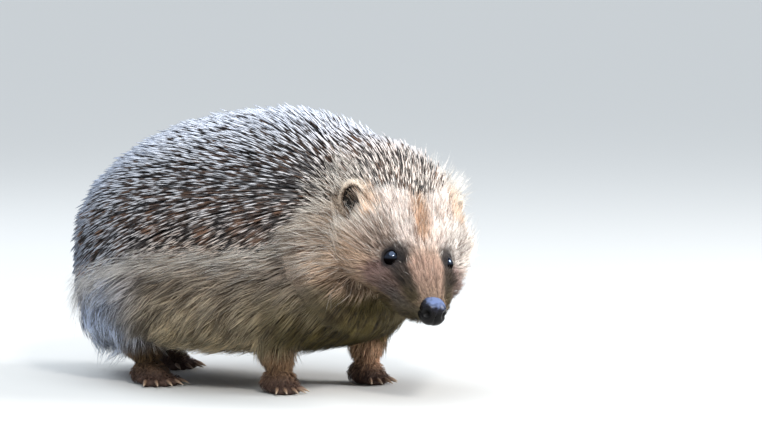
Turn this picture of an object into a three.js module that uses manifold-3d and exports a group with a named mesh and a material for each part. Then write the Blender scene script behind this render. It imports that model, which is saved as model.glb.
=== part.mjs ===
// A European hedgehog, life size, standing in mid stride with its head lowered and turned to its right.
// Every solid has the outline of the coat, out to the tips of the spines and the fur.
//
// Millimetres. +X is the way the trunk faces, +Y is the animal's left and +Z is up. The soles stand on
// Z = 0, and the origin is on that floor, under the middle of the animal's box.
//
// The trunk is one loft, cut along the lower edge of the spines into a spiny back and a furry underside.
// The neck and the head are a second loft, on a line that bends to the right and down, cut across into
// neck, head and muzzle. Legs, paws, ears, eyes, nose, jaw and tail are lofts and ellipsoids of their own,
// each cut back by what it grows from with a thin gap left between.

import * as THREE from "three";
import { LoftGeometry } from "three/addons/geometries/LoftGeometry.js";
import { mergeVertices } from "three/addons/utils/BufferGeometryUtils.js";
import Module from "manifold-3d";

// ---- driving dimensions ----------------------------------------------------------------------------

const GAP = 0.3; // between two pieces that touch
const CENTRE = new THREE.Vector3(3, 0, 0); // the middle of the box, before the origin is moved there
const BEYOND = 200; // further than any part of the animal reaches, for the solids that only cut

// Each outline of the trunk is a bowed line that starts and ends on its two poles. It stands furthest out
// at `widest`, where it reaches `reach`, and `power` makes it round (2) or full (3).
const TRUNK = {
  rear: -99,
  front: 66,
  height: 62, // of the line where the trunk is broadest, above the floor
  top: { widest: 10, reach: 65.5, power: 2.05 },
  side: { widest: -22, reach: 60, power: 2.4 },
  bottom: { widest: -44, reach: 46, power: 4.6 },
  roundTop: 2.05,
  roundBottom: 3.9,
};

// The lower edge of the spines, seen from the side: [x, height]. It climbs steeply behind the cheeks.
const SPINE_EDGE = [
  [-140, 34],
  [-95, 47],
  [-66, 54],
  [-27, 64],
  [0, 66],
  [26, 67.5],
  [32, 74],
  [37, 83.5],
  [50, 90],
  [64, 92],
  [90, 104],
];

// The point between the eyes, and the way the head is turned from the trunk, in degrees.
const HEAD = { eyes: [90, -23, 63], yaw: -39, pitch: -29, roll: 9 };

// Rings of the head along its own axis, from the ears to the tip of the muzzle: `at` is measured forwards
// from the eyes, `lift` is the ring's centre above the axis, and the rest are its reach to each side.
const HEAD_RINGS = [
  { at: -34, lift: 1.5, side: 29.5, up: 24.5, down: 29 },
  { at: -24, lift: 0, side: 29.5, up: 22.5, down: 27 },
  { at: -14, lift: -3.5, side: 28.8, up: 21.5, down: 23 },
  { at: -6, lift: -6.5, side: 25, up: 19.8, down: 18.8 },
  { at: 0, lift: -8, side: 21, up: 17.8, down: 15.2 },
  { at: 9, lift: -8.4, side: 16, up: 13.2, down: 12.2 },
  { at: 18, lift: -8.5, side: 11.8, up: 9.2, down: 8.8 },
  { at: 26, lift: -8.7, side: 7.6, up: 6.4, down: 6.8 },
];
const MUZZLE_FROM = 10; // where the muzzle is parted from the head, forwards from the eyes
const NECK_ROOT = { x: 14, height: 70, side: 50, up: 52, down: 44 }; // the neck's first ring, in the trunk
const NECK_WAIST = 0.97; // how wide the middle of the neck is, as a share of a straight cone's width
const NECK_EASE = 0.4; // how far the neck runs straight at each end, as a share of its length

const NOSE = { at: 28.4, lift: -8.4, long: 5.6, wide: 5.7, high: 5.8 };
const NOSTRIL = { ahead: 4, apart: 7, drop: 0.6, long: 2, wide: 1.5, high: 1.7 };
// The lower jaw, from its root to its tip: its drop under the eyes, its half width and its half height.
const JAW = {
  root: { at: -4, drop: 20, wide: 10, high: 5.4 },
  tip: { at: 21, drop: 16.6, wide: 4.4, high: 2.6 },
};
const EYE = { radius: 3.9, apart: 25.6, lift: 0.4, ahead: 0.6, opening: 4.4, openingOut: 3.6 };
const EAR = {
  at: -30,
  apart: 48.5,
  lift: 7.5,
  long: 10,
  wide: 7.5,
  deep: 4.4,
  wall: 1.5,
  clear: 4, // how far the coat is parted in front of the cup
  spread: 20, // degrees that the ear leans out from upright
  turn: 38, // degrees that the cup is turned outwards from straight ahead
};

// Each leg: where its paw stands, the way the paw points, and where the leg leaves the trunk.
const LEGS = {
  front_right: { foot: [19, -26], toesOut: -24, top: [16, -30, 52], hind: false },
  front_left: { foot: [33, 25], toesOut: -10, top: [30, 29, 52], hind: false },
  hind_right: { foot: [-52, -28], toesOut: -26, top: [-60, -33, 52], hind: true },
  hind_left: { foot: [-84, 26], toesOut: 6, top: [-66, 32, 52], hind: true },
};
const LEG = { top: 14.5, knee: 9.4, kneeHeight: 27, ankle: 6.6, ankleHeight: 11 };
// A paw's palm and its toes, with how far the palm's middle and the toes' are from the ankle.
const FRONT_PAW = {
  palmLong: 8.6,
  palmWide: 7.4,
  palmHigh: 6,
  heel: 0,
  toeReach: 7.4,
  toeLong: 5,
  toeWide: 2.3,
};
const HIND_PAW = {
  palmLong: 12,
  palmWide: 7.2,
  palmHigh: 5.8,
  heel: 3,
  toeReach: 12,
  toeLong: 5.2,
  toeWide: 2.3,
};
const TOES = 5;
const TOE_SPREAD = 19; // degrees from one toe to the next
const TOE_STEP_BACK = 0.9; // how far each toe stands behind the one nearer the middle
const CLAW = { long: 5.6, radius: 1, dip: 12, lift: 0.6 }; // dip in degrees
const SOLE_CUT = 1.1; // how much of a rounded paw the floor takes off

const TAIL = { root: [-86, 2, 28], tip: [-104, 6, 22], rootRadius: 6, tipRadius: 2.6 };

// How finely the surfaces are divided: steps along a loft and points round it.
const FACES = {
  trunk: { along: 22, around: 28 },
  edge: { along: 44 },
  neck: { along: 5 },
  head: { along: 12, around: 22 },
  jaw: { along: 7, around: 14 },
  leg: { along: 8, around: 10 },
  tail: { along: 5, around: 8 },
  nose: { around: 14, high: 9 },
};

// ---- materials -------------------------------------------------------------------------------------

const finish = (color, roughness, metalness = 0) =>
  new THREE.MeshStandardMaterial({ color, roughness, metalness });
const SPINES = finish(0x9a8a74, 0.6);
const FUR = finish(0xa68c6c, 0.85);
const MASK = finish(0x6f5a49, 0.85);
const SKIN = finish(0x6b4f43, 0.7);
const NOSE_LEATHER = finish(0x17151a, 0.25);
const EYE_GLOSS = finish(0x08080a, 0.08);

// ---- shape helpers ---------------------------------------------------------------------------------

const radians = THREE.MathUtils.degToRad;
const vector = (x, y, z) => new THREE.Vector3(x, y, z);

// A smooth line through [place, value] knots, flat nowhere unless the knots are: a cubic Hermite spline
// whose slope at a knot is that of its two neighbours.
function smoothLine(knots) {
  const last = knots.length - 1;
  const slope = (i) => {
    const a = knots[Math.max(i - 1, 0)];
    const b = knots[Math.min(i + 1, last)];
    return (b[1] - a[1]) / (b[0] - a[0]);
  };
  return (place) => {
    let i = 0;
    while (i < last - 1 && place > knots[i + 1][0]) i += 1;
    const [x0, y0] = knots[i];
    const [x1, y1] = knots[i + 1];
    const span = x1 - x0;
    const t = (place - x0) / span;
    const rise = t * t * (3 - 2 * t);
    const leave = t * (1 - t) * (1 - t);
    const arrive = t * t * (t - 1);
    return y0 + (y1 - y0) * rise + span * (slope(i) * leave + slope(i + 1) * arrive);
  };
}

// How far a bowed outline of the trunk stands out at x.
function bow({ widest, reach, power }, x) {
  const half = x < widest ? widest - TRUNK.rear : TRUNK.front - widest;
  const share = Math.min(Math.abs(x - widest) / half, 1);
  return reach * (1 - share ** power) ** (1 / power);
}

// A closed ring of points about a centre: superelliptic, with its own reach up, down and to the sides.
// side and up are unit vectors, and the ring runs from side towards up.
function ring(centre, side, up, reach, count) {
  const points = [];
  for (let i = 0; i < count; i += 1) {
    const angle = (i / count) * 2 * Math.PI;
    const c = Math.cos(angle);
    const s = Math.sin(angle);
    const power = 2 / (s >= 0 ? reach.roundTop ?? 2 : reach.roundBottom ?? 2);
    const across = Math.sign(c) * Math.abs(c) ** power * reach.side;
    const high = Math.sign(s) * Math.abs(s) ** power * (s >= 0 ? reach.up : reach.down);
    points.push(centre.clone().addScaledVector(side, across).addScaledVector(up, high));
  }
  return points;
}

const loft = (rings) => new LoftGeometry(rings, { capStart: true, capEnd: true });

// An ellipsoid with radii a, b, c along its own axes x, y, z, turned by a matrix and set at a place.
function ellipsoid(radii, basis, place, around = 12, high = 8) {
  const shape = new THREE.SphereGeometry(1, around, high).scale(...radii);
  return shape.applyMatrix4(basis).translate(...place);
}

// ---- solids ----------------------------------------------------------------------------------------

const wasm = await Module();
wasm.setup();

// A closed geometry as a solid that can be cut and joined.
function solid(geometry) {
  const bare = new THREE.BufferGeometry()
    .setAttribute("position", geometry.getAttribute("position"))
    .setIndex(geometry.getIndex());
  const merged = mergeVertices(bare, 1e-4);
  return new wasm.Manifold(
    new wasm.Mesh({
      numProp: 3,
      vertProperties: merged.attributes.position.array,
      triVerts: new Uint32Array(merged.index.array),
    }),
  );
}

// A solid as a mesh of the model.
function piece(name, made, material) {
  const cut = made.getMesh();
  const geometry = new THREE.BufferGeometry()
    .setAttribute("position", new THREE.BufferAttribute(new Float32Array(cut.vertProperties), 3))
    .setIndex(new THREE.BufferAttribute(new Uint32Array(cut.triVerts), 1));
  geometry.computeVertexNormals();
  const mesh = new THREE.Mesh(geometry, material);
  mesh.name = name;
  return mesh;
}

const joined = (solids) => solids.reduce((all, next) => all.add(next));

// Everything on one side of a plane: a large box whose near face lies on the plane, with its outward
// direction along `way`.
function halfSpace(point, way) {
  const size = 2 * BEYOND;
  const box = new THREE.BoxGeometry(size, size, size).translate(0, 0, size / 2);
  const turn = new THREE.Quaternion().setFromUnitVectors(vector(0, 0, 1), way.clone().normalize());
  return solid(box.applyQuaternion(turn).translate(point.x, point.y, point.z));
}

// ---- trunk -----------------------------------------------------------------------------------------

const POLE_CAP = 0.06; // radians from each pole of the trunk to its first ring

// The trunk, or the trunk swollen by `extra` all over, which is what its neighbours are cut back by.
function trunkSolid(extra = 0) {
  const { along, around } = FACES.trunk;
  const middle = (TRUNK.rear + TRUNK.front) / 2;
  const half = (TRUNK.front - TRUNK.rear) / 2;
  const rings = [];
  for (let i = 0; i <= along; i += 1) {
    const turn = THREE.MathUtils.lerp(POLE_CAP, Math.PI - POLE_CAP, i / along);
    const x = middle - half * Math.cos(turn);
    const reach = {
      side: bow(TRUNK.side, x) + extra,
      up: bow(TRUNK.top, x) + extra,
      down: bow(TRUNK.bottom, x) + extra,
      roundTop: TRUNK.roundTop,
      roundBottom: TRUNK.roundBottom,
    };
    const swollen = x - extra * Math.cos(turn);
    rings.push(ring(vector(swollen, 0, TRUNK.height), vector(0, 1, 0), vector(0, 0, 1), reach, around));
  }
  return solid(loft(rings));
}

// All that lies below the lower edge of the spines, lowered or raised by `shift`.
function belowSpines(shift) {
  const edge = smoothLine(SPINE_EDGE);
  const steps = FACES.edge.along;
  const start = SPINE_EDGE[0][0];
  const end = SPINE_EDGE[SPINE_EDGE.length - 1][0];
  const outline = new THREE.Shape().moveTo(start, -BEYOND);
  outline.lineTo(end, -BEYOND);
  for (let i = steps; i >= 0; i -= 1) {
    const x = start + ((end - start) * i) / steps;
    outline.lineTo(x, edge(x) + shift);
  }
  const depth = 2 * BEYOND;
  const slab = new THREE.ExtrudeGeometry(outline, { depth, bevelEnabled: false });
  return solid(slab.rotateX(Math.PI / 2).translate(0, depth / 2, 0));
}

// ---- head and neck ---------------------------------------------------------------------------------

// Unit vectors of the head: forward along its axis, to the animal's left, and up.
function headAxes() {
  const yaw = radians(HEAD.yaw);
  const pitch = radians(HEAD.pitch);
  const roll = radians(HEAD.roll);
  const forward = vector(Math.cos(pitch) * Math.cos(yaw), Math.cos(pitch) * Math.sin(yaw), Math.sin(pitch));
  const level = vector(-Math.sin(yaw), Math.cos(yaw), 0);
  const upright = forward.clone().cross(level);
  const left = level.clone().multiplyScalar(Math.cos(roll)).addScaledVector(upright, -Math.sin(roll));
  const up = upright.clone().multiplyScalar(Math.cos(roll)).addScaledVector(level, Math.sin(roll));
  return { forward, left, up };
}

const { forward, left, up } = headAxes();
const eyeMiddle = vector(...HEAD.eyes);
const headBasis = new THREE.Matrix4().makeBasis(forward, left, up);

// A place in the head's own frame, as a place in the body's.
const inHead = (ahead, aside, lift) =>
  eyeMiddle
    .clone()
    .addScaledVector(forward, ahead)
    .addScaledVector(left, aside)
    .addScaledVector(up, lift);

const headLine = (key) => smoothLine(HEAD_RINGS.map((row) => [row.at, row[key]]));
const headLift = headLine("lift");
const headSide = headLine("side");
const headUp = headLine("up");
const headDown = headLine("down");

function headRing(at, extra, around) {
  const reach = { side: headSide(at) + extra, up: headUp(at) + extra, down: headDown(at) + extra };
  return ring(inHead(at, 0, headLift(at)), left, up, reach, around);
}

// Rings of the neck, from inside the trunk to the back of the head: the centre follows a curve that leaves
// the trunk straight ahead and arrives along the head's axis.
function neckRings(extra, around, steps) {
  const last = HEAD_RINGS[0];
  const start = vector(NECK_ROOT.x, 0, NECK_ROOT.height);
  const end = inHead(last.at, 0, last.lift);
  const pull = start.distanceTo(end) * NECK_EASE;
  const line = new THREE.CubicBezierCurve3(
    start,
    start.clone().add(vector(pull, 0, 0)),
    end.clone().addScaledVector(forward, -pull),
    end,
  );
  const rings = [];
  for (let i = 0; i < steps; i += 1) {
    const t = i / steps;
    const waist = 1 - (1 - NECK_WAIST) * Math.sin(Math.PI * t);
    const reach = {
      side: THREE.MathUtils.lerp(NECK_ROOT.side, last.side, t) * waist + extra,
      up: THREE.MathUtils.lerp(NECK_ROOT.up, last.up, t) * waist + extra,
      down: THREE.MathUtils.lerp(NECK_ROOT.down, last.down, t) * waist + extra,
    };
    const across = vector(0, 1, 0).lerp(left, t).normalize();
    const ahead = line.getTangent(t);
    const high = ahead.clone().cross(across).normalize();
    rings.push(ring(line.getPoint(t), high.clone().cross(ahead).normalize(), high, reach, around));
  }
  return rings;
}

// Neck, head and muzzle in one, or the same swollen by `extra`.
function headAndNeckSolid(extra = 0) {
  const { along, around } = FACES.head;
  const rings = neckRings(extra, around, FACES.neck.along);
  const first = HEAD_RINGS[0].at;
  const end = HEAD_RINGS[HEAD_RINGS.length - 1].at;
  for (let i = 0; i <= along; i += 1) {
    rings.push(headRing(first + ((end - first) * i) / along, extra, around));
  }
  return solid(loft(rings));
}

const eyePlace = (side, out = 0) => inHead(EYE.ahead + out / 2, side * (EYE.apart / 2 + out), EYE.lift);

function eyeSolid(side) {
  const size = EYE.radius;
  return solid(ellipsoid([size, size, size], headBasis, eyePlace(side), 12, 8));
}

// The socket that an eye sits in, with the parting in the fur in front of it.
function eyeRoom(side) {
  const socket = EYE.radius + GAP;
  const parting = EYE.opening;
  return solid(ellipsoid([socket, socket, socket], headBasis, eyePlace(side), 12, 8)).add(
    solid(ellipsoid([parting, parting, parting], headBasis, eyePlace(side, EYE.openingOut), 9, 6)),
  );
}

// Where an ear stands: its own axes, whose x is the way the cup faces, and its middle moved along that
// axis by `ahead`.
function earFrame(side, ahead = 0) {
  const lean = new THREE.Matrix4().makeRotationX(-side * radians(EAR.spread));
  const turn = new THREE.Matrix4().makeRotationZ(side * radians(EAR.turn));
  const basis = headBasis.clone().multiply(turn).multiply(lean);
  const facing = vector(1, 0, 0).applyMatrix4(basis);
  const place = inHead(EAR.at, (side * EAR.apart) / 2, EAR.lift).addScaledVector(facing, ahead);
  return { basis, place };
}

// An ear: an ellipsoid hollowed from its front by a second one.
function earSolid(side) {
  const outer = earFrame(side);
  const hollow = earFrame(side, EAR.wall * 2);
  const inner = [EAR.deep, EAR.wide - EAR.wall, EAR.long - EAR.wall];
  return solid(ellipsoid([EAR.deep, EAR.wide, EAR.long], outer.basis, outer.place, 12, 8)).subtract(
    solid(ellipsoid(inner, hollow.basis, hollow.place, 10, 7)),
  );
}

// The parting in the coat that an ear stands in, open in front of its cup.
function earRoom(side) {
  const pocket = earFrame(side);
  const parting = earFrame(side, EAR.clear);
  const radii = [EAR.deep, EAR.wide, EAR.long].map((radius) => radius + GAP);
  return solid(ellipsoid(radii, pocket.basis, pocket.place, 12, 8)).add(
    solid(ellipsoid(radii, parting.basis, parting.place, 12, 8)),
  );
}

// The wet pad at the tip of the muzzle, with a nostril in each side.
function noseSolid() {
  const place = inHead(NOSE.at, 0, NOSE.lift);
  const { around, high } = FACES.nose;
  const pad = solid(ellipsoid([NOSE.long, NOSE.wide, NOSE.high], headBasis, place, around, high));
  const nostrils = [-1, 1].map((side) => {
    const hole = inHead(NOSE.at + NOSTRIL.ahead, (side * NOSTRIL.apart) / 2, NOSE.lift - NOSTRIL.drop);
    return solid(ellipsoid([NOSTRIL.long, NOSTRIL.wide, NOSTRIL.high], headBasis, hole, 6, 4));
  });
  return pad.subtract(joined(nostrils));
}

// The lower jaw, set back under the muzzle and rounded off at its tip.
function jawSolid() {
  const { along, around } = FACES.jaw;
  const roundness = 6;
  const least = 0.15; // the share of its size that the tip's last ring keeps
  const rings = [];
  for (let i = 0; i <= along; i += 1) {
    const t = i / along;
    const between = (key) => THREE.MathUtils.lerp(JAW.root[key], JAW.tip[key], t);
    const taper = Math.max(Math.sqrt(1 - t ** roundness), least);
    const high = between("high") * taper;
    const reach = { side: between("wide") * taper, up: high, down: high };
    rings.push(ring(inHead(between("at"), 0, -between("drop")), left, up, reach, around));
  }
  return solid(loft(rings));
}

// ---- legs, paws and tail ---------------------------------------------------------------------------

// A round limb through places, with a radius at each.
function limbSolid(places, radii, { along: steps, around }) {
  const line = new THREE.CatmullRomCurve3(places.map((place) => vector(...place)));
  const radius = smoothLine(radii.map((value, i) => [i / (radii.length - 1), value]));
  const rings = [];
  for (let i = 0; i <= steps; i += 1) {
    const t = i / steps;
    const along = line.getTangent(t);
    const across = vector(1, 0, 0).cross(along).normalize();
    const other = along.clone().cross(across).normalize();
    const reach = { side: radius(t), up: radius(t), down: radius(t) };
    rings.push(ring(line.getPoint(t), across, other, reach, around));
  }
  return solid(loft(rings));
}

function legSolid({ foot, top }) {
  const knee = [(top[0] + foot[0]) / 2, (top[1] + foot[1]) / 2, LEG.kneeHeight];
  const places = [top, knee, [foot[0], foot[1], LEG.ankleHeight], [foot[0], foot[1], LEG.ankleHeight / 2]];
  return limbSolid(places, [LEG.top, LEG.knee, LEG.ankle, LEG.ankle], FACES.leg);
}

// A paw: a flattened palm, five toes in a fan and a claw on each, cut off flat at the floor.
function pawSolid({ foot, toesOut, hind }) {
  const size = hind ? HIND_PAW : FRONT_PAW;
  const heading = radians(toesOut);
  const place = (ahead, aside, lift) =>
    vector(ahead, aside, lift)
      .applyAxisAngle(vector(0, 0, 1), heading)
      .add(vector(foot[0], foot[1], 0));
  const turned = new THREE.Matrix4().makeRotationZ(heading);
  const palm = ellipsoid(
    [size.palmLong, size.palmWide, size.palmHigh],
    turned,
    place(size.heel, 0, size.palmHigh - SOLE_CUT),
    9,
    6,
  );
  const parts = [solid(palm)];
  for (let i = 0; i < TOES; i += 1) {
    const fromMiddle = i - (TOES - 1) / 2;
    const fan = radians(TOE_SPREAD * fromMiddle);
    const reach = size.toeReach - Math.abs(fromMiddle) * TOE_STEP_BACK;
    const basis = new THREE.Matrix4().makeRotationZ(heading + fan);
    const height = size.toeWide - SOLE_CUT / 2;
    const root = place(size.heel + reach * Math.cos(fan), reach * Math.sin(fan), height);
    parts.push(solid(ellipsoid([size.toeLong, size.toeWide, size.toeWide], basis, root, 5, 4)));
    const claw = new THREE.ConeGeometry(CLAW.radius, CLAW.long, 4)
      .rotateZ(-Math.PI / 2)
      .translate(size.toeLong + CLAW.long / 3, 0, 0)
      .rotateY(radians(CLAW.dip))
      .applyMatrix4(basis)
      .translate(root.x, root.y, root.z + CLAW.lift);
    parts.push(solid(claw));
  }
  return joined(parts).intersect(halfSpace(vector(0, 0, 0), vector(0, 0, 1)));
}

// ---- the model -------------------------------------------------------------------------------------

const hedgehog = new THREE.Group();
hedgehog.name = "hedgehog";
hedgehog.position.copy(CENTRE).negate();

const sides = { right: -1, left: 1 };
const rooms = joined(Object.values(sides).flatMap((side) => [eyeRoom(side), earRoom(side)]));
const trunk = trunkSolid().subtract(rooms);
const trunkRoom = trunkSolid(GAP);
hedgehog.add(piece("back", trunk.subtract(belowSpines(GAP / 2)), SPINES));
hedgehog.add(piece("belly", trunk.intersect(belowSpines(-GAP / 2)), FUR));

const noseRoom = solid(
  ellipsoid(
    [NOSE.long + GAP, NOSE.wide + GAP, NOSE.high + GAP],
    headBasis,
    inHead(NOSE.at, 0, NOSE.lift),
    FACES.nose.around,
    FACES.nose.high,
  ),
);
const wholeHead = headAndNeckSolid().subtract(trunkRoom).subtract(rooms).subtract(noseRoom);
const headRoom = headAndNeckSolid(GAP);

// The head parts at the ears' line and in front of the eyes: each cut takes a slice one gap thick.
const slices = [HEAD_RINGS[0].at, MUZZLE_FROM];
const ahead = (at) => halfSpace(inHead(at, 0, 0), forward);
const behind = (at) => halfSpace(inHead(at, 0, 0), forward.clone().negate());
hedgehog.add(piece("neck", wholeHead.intersect(behind(slices[0] - GAP / 2)), FUR));
const headOnly = wholeHead.intersect(ahead(slices[0] + GAP / 2)).intersect(behind(slices[1] - GAP / 2));
hedgehog.add(piece("head", headOnly, FUR));
hedgehog.add(piece("muzzle", wholeHead.intersect(ahead(slices[1] + GAP / 2)), MASK));
hedgehog.add(piece("jaw", jawSolid().subtract(headRoom).subtract(noseRoom), MASK));
hedgehog.add(piece("nose", noseSolid(), NOSE_LEATHER));

for (const [name, side] of Object.entries(sides)) {
  hedgehog.add(piece(`eye_${name}`, eyeSolid(side), EYE_GLOSS));
  hedgehog.add(piece(`ear_${name}`, earSolid(side), SKIN));
}

for (const [name, leg] of Object.entries(LEGS)) {
  const whole = legSolid(leg).subtract(trunkRoom);
  const paw = pawSolid(leg);
  const ankle = vector(0, 0, LEG.ankleHeight);
  const low = halfSpace(ankle.clone().setZ(LEG.ankleHeight - GAP / 2), vector(0, 0, -1));
  const high = halfSpace(ankle.clone().setZ(LEG.ankleHeight + GAP / 2), vector(0, 0, 1));
  hedgehog.add(piece(`leg_${name}`, whole.intersect(high), FUR));
  hedgehog.add(piece(`paw_${name}`, paw.add(whole.intersect(low)), SKIN));
}

const tail = limbSolid([TAIL.root, TAIL.tip], [TAIL.rootRadius, TAIL.tipRadius], FACES.tail);
hedgehog.add(piece("tail", tail.subtract(trunkRoom), FUR));

export default hedgehog;
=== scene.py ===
# %% [markdown]
# # A European hedgehog, life size
#
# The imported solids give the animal's outline out to the tips of its coat. This lesson dresses them: one
# skin lies inside the outline by the depth of the coat, and spines and fur are grown from it as thin
# closed tubes. Eyes, nose and claws are pieces of their own. Everything is worked out with numpy, whole
# arrays at a time, in millimetres, and is turned into metres where a mesh is made.

import bpy
import numpy as np
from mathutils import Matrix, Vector


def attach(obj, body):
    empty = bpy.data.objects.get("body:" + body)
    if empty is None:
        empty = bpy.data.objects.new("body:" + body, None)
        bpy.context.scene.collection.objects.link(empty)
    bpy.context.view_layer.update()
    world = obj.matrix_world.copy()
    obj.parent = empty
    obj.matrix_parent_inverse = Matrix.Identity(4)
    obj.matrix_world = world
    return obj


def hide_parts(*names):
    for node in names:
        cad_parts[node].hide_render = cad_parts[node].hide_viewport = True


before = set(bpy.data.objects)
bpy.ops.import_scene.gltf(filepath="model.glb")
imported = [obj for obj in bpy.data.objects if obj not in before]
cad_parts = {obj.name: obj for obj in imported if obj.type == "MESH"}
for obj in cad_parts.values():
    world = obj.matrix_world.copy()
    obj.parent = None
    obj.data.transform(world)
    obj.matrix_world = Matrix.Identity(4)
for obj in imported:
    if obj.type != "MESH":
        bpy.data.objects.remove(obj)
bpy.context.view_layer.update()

# %% [markdown]
# ## Sizes
#
# The driving sizes are the ones that the solids were made from: three bowed outlines for the trunk, rings
# for the head, two points for each leg. Repeating them keeps the skin true to the solids. A mesh could
# also be copied from the nodes and shrunk, but a few named sizes say more and can be changed.

# %% Sizes of the trunk
MM = 0.001
CENTRE = np.array([3.0, 0.0, 0.0])  # the middle of the solids' box, in the animal's own millimetres
RIGHT, LEFT = -1, 1

TRUNK = {"rear": -99, "front": 66, "height": 62, "round_top": 2.05, "round_bottom": 3.9}
TRUNK_TOP = {"widest": 10, "reach": 65.5, "power": 2.05}
TRUNK_SIDE = {"widest": -22, "reach": 60, "power": 2.4}
TRUNK_BOTTOM = {"widest": -44, "reach": 46, "power": 4.6}
# The height of the spines' lower edge along the right side; on the left the head is further forward.
SPINE_EDGE = [(-140, 34), (-95, 47), (-66, 57), (-27, 66), (0, 68), (32, 69.5), (39, 74), (45, 79),
              (55, 84), (64, 87), (74, 86), (86, 83), (100, 78)]
LEFT_SHIFT = 24
print("trunk:", TRUNK["front"] - TRUNK["rear"], "mm long")

# %% Sizes of the head
HEAD = {"eyes": (90, -23, 63), "yaw": -39, "pitch": -29, "roll": 9}
# Rings of the head: how far ahead of the eyes, how high its centre is, its reach to the side, up, down.
HEAD_RINGS = [
    (-34, 1.5, 29.5, 24.5, 29.0),
    (-24, 0.0, 29.5, 22.5, 27.0),
    (-14, -3.5, 28.8, 21.5, 23.0),
    (-6, -6.5, 25.0, 19.8, 18.8),
    (0, -8.0, 21.0, 17.8, 15.2),
    (9, -8.4, 16.0, 13.2, 12.2),
    (18, -8.5, 11.8, 9.2, 8.8),
    (26, -8.7, 7.6, 6.4, 6.8),
]
NECK_ROOT = {"x": 14, "height": 70, "side": 50, "up": 52, "down": 44}
NECK_WAIST, NECK_EASE = 0.97, 0.4
NOSE = {"at": 28.4, "lift": -8.4, "long": 5.6, "wide": 5.7, "high": 5.8}
MUZZLE_END = 3  # how far the skin rounds off behind the nose
JAW_ROOT = {"at": -4, "drop": 20, "wide": 10, "high": 5.4}
JAW_TIP = {"at": 21, "drop": 16.6, "wide": 4.4, "high": 2.6}
print("head:", len(HEAD_RINGS), "rings")

# %% Sizes of the eyes and the ears
EYE = {"radius": 3.8, "apart": 25.2, "lift": -0.6, "ahead": 0.8}
EAR = {"at": -30, "apart": 48.5, "lift": 7.5, "long": 10, "wide": 7.5, "deep": 4.4, "wall": 1.5,
       "spread": 20, "turn": 38}
EAR_COAT = {"long": 1.9, "wide": 1.9, "sunk": (0.6, 2.6)}  # the bare ear is smaller by its own short fur
print("eyes:", 2 * EYE["radius"], "mm across; ears:", 2 * EAR["long"], "mm high")

# %% Sizes of the legs and the tail
# Each leg: where its paw stands, which way the paw points, where it leaves the trunk, and if it is hind.
LEGS = {
    "front_right": ((19, -26), -24, (16, -30, 52), False),
    "front_left": ((33, 25), -10, (30, 29, 52), False),
    "hind_right": ((-52, -28), -26, (-60, -33, 52), True),
    "hind_left": ((-84, 26), 6, (-66, 32, 52), True),
}
LEG = {"top": 14.5, "knee": 9.4, "knee_height": 27, "ankle": 6.6, "ankle_height": 11}
FRONT_PAW = {"palm": (8.6, 7.4, 6.0), "heel": 0, "reach": 7.4, "toe": (5.0, 2.3)}
HIND_PAW = {"palm": (12.0, 7.2, 5.8), "heel": 3, "reach": 12.0, "toe": (5.2, 2.3)}
TOES, TOE_SPREAD, TOE_STEP_BACK, SOLE_CUT = 5, 19, 0.9, 1.1
CLAW = {"long": 5.6, "radius": 1.0, "dip": 12, "lift": 0.6}
TAIL = {"root": (-86, 2, 28), "tip": (-104, 6, 22), "root_radius": 6, "tip_radius": 2.6}
print("legs:", len(LEGS), "with", TOES, "toes each")

# %% Depth of the coat over the skin
TRUNK_COAT = {"top": 9.0, "side": 7.5, "bottom": 6.0, "rear": 8.0, "front": 6.0}
HEAD_COAT = [(-60, 9.0), (-34, 7.4), (-20, 5.6), (-8, 3.8), (0, 2.6), (9, 1.5), (18, 0.9), (27, 0.5)]
LEG_COAT, PAW_COAT, TAIL_COAT, JAW_COAT = 2.0, 0.4, 1.2, 0.8
print("coat:", TRUNK_COAT["top"], "mm deep on the back,", HEAD_COAT[-1][1], "mm at the nose")

# %% [markdown]
# ## Camera, light and floor
#
# The animal is seen from its right front, from just above its own height. A long lens keeps the
# proportions flat, as a portrait lens does. The light is a broad cool lamp overhead, for the sheen on the
# back. A small warm box in front models the face and puts the spark in the eyes, and two wider boxes
# behind draw the far cheek and the rump off the floor.

# %% Camera
CAMERA = {"azimuth": 32, "elevation": 4, "distance": 1540, "lens": 160, "aim": (40.7, 25.1, 77.9)}


def compass(azimuth, elevation):
    """The unit vector towards a viewer: azimuth 0 stands on the animal's right, 90 in front of it."""
    a, e = np.radians([azimuth, elevation])
    return np.array([np.sin(a) * np.cos(e), -np.cos(a) * np.cos(e), np.sin(e)])


def place_in_frame(points):
    """The animal's own millimetres, as metres in the frame."""
    return (np.asarray(points, float) - CENTRE) * MM


aim = place_in_frame(CAMERA["aim"])
towards = compass(CAMERA["azimuth"], CAMERA["elevation"])
camera = bpy.data.objects.new("camera", bpy.data.cameras.new("camera"))
camera.data.lens = CAMERA["lens"]
camera.data.clip_end = 200
camera.location = aim + towards * CAMERA["distance"] * MM
camera.rotation_euler = Vector(-towards).to_track_quat("-Z", "Y").to_euler()
bpy.context.scene.collection.objects.link(camera)
bpy.context.scene.camera = camera
print("camera at", [round(v, 3) for v in camera.location])

# %% Light
def hang(name, kind, azimuth, elevation, colour, strength, distance=0):
    """A lamp that looks at the animal's middle from a direction, at a distance in metres."""
    lamp = bpy.data.lights.new(name, kind)
    lamp.color = colour
    lamp.energy = strength
    hung = bpy.data.objects.new(name, lamp)
    way = compass(azimuth, elevation)
    hung.location = aim + way * distance
    hung.rotation_euler = Vector(-way).to_track_quat("-Z", "Y").to_euler()
    bpy.context.scene.collection.objects.link(hung)
    return lamp


SKY_SPREAD = 70  # degrees across: so broad that its shadows have no edge
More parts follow.
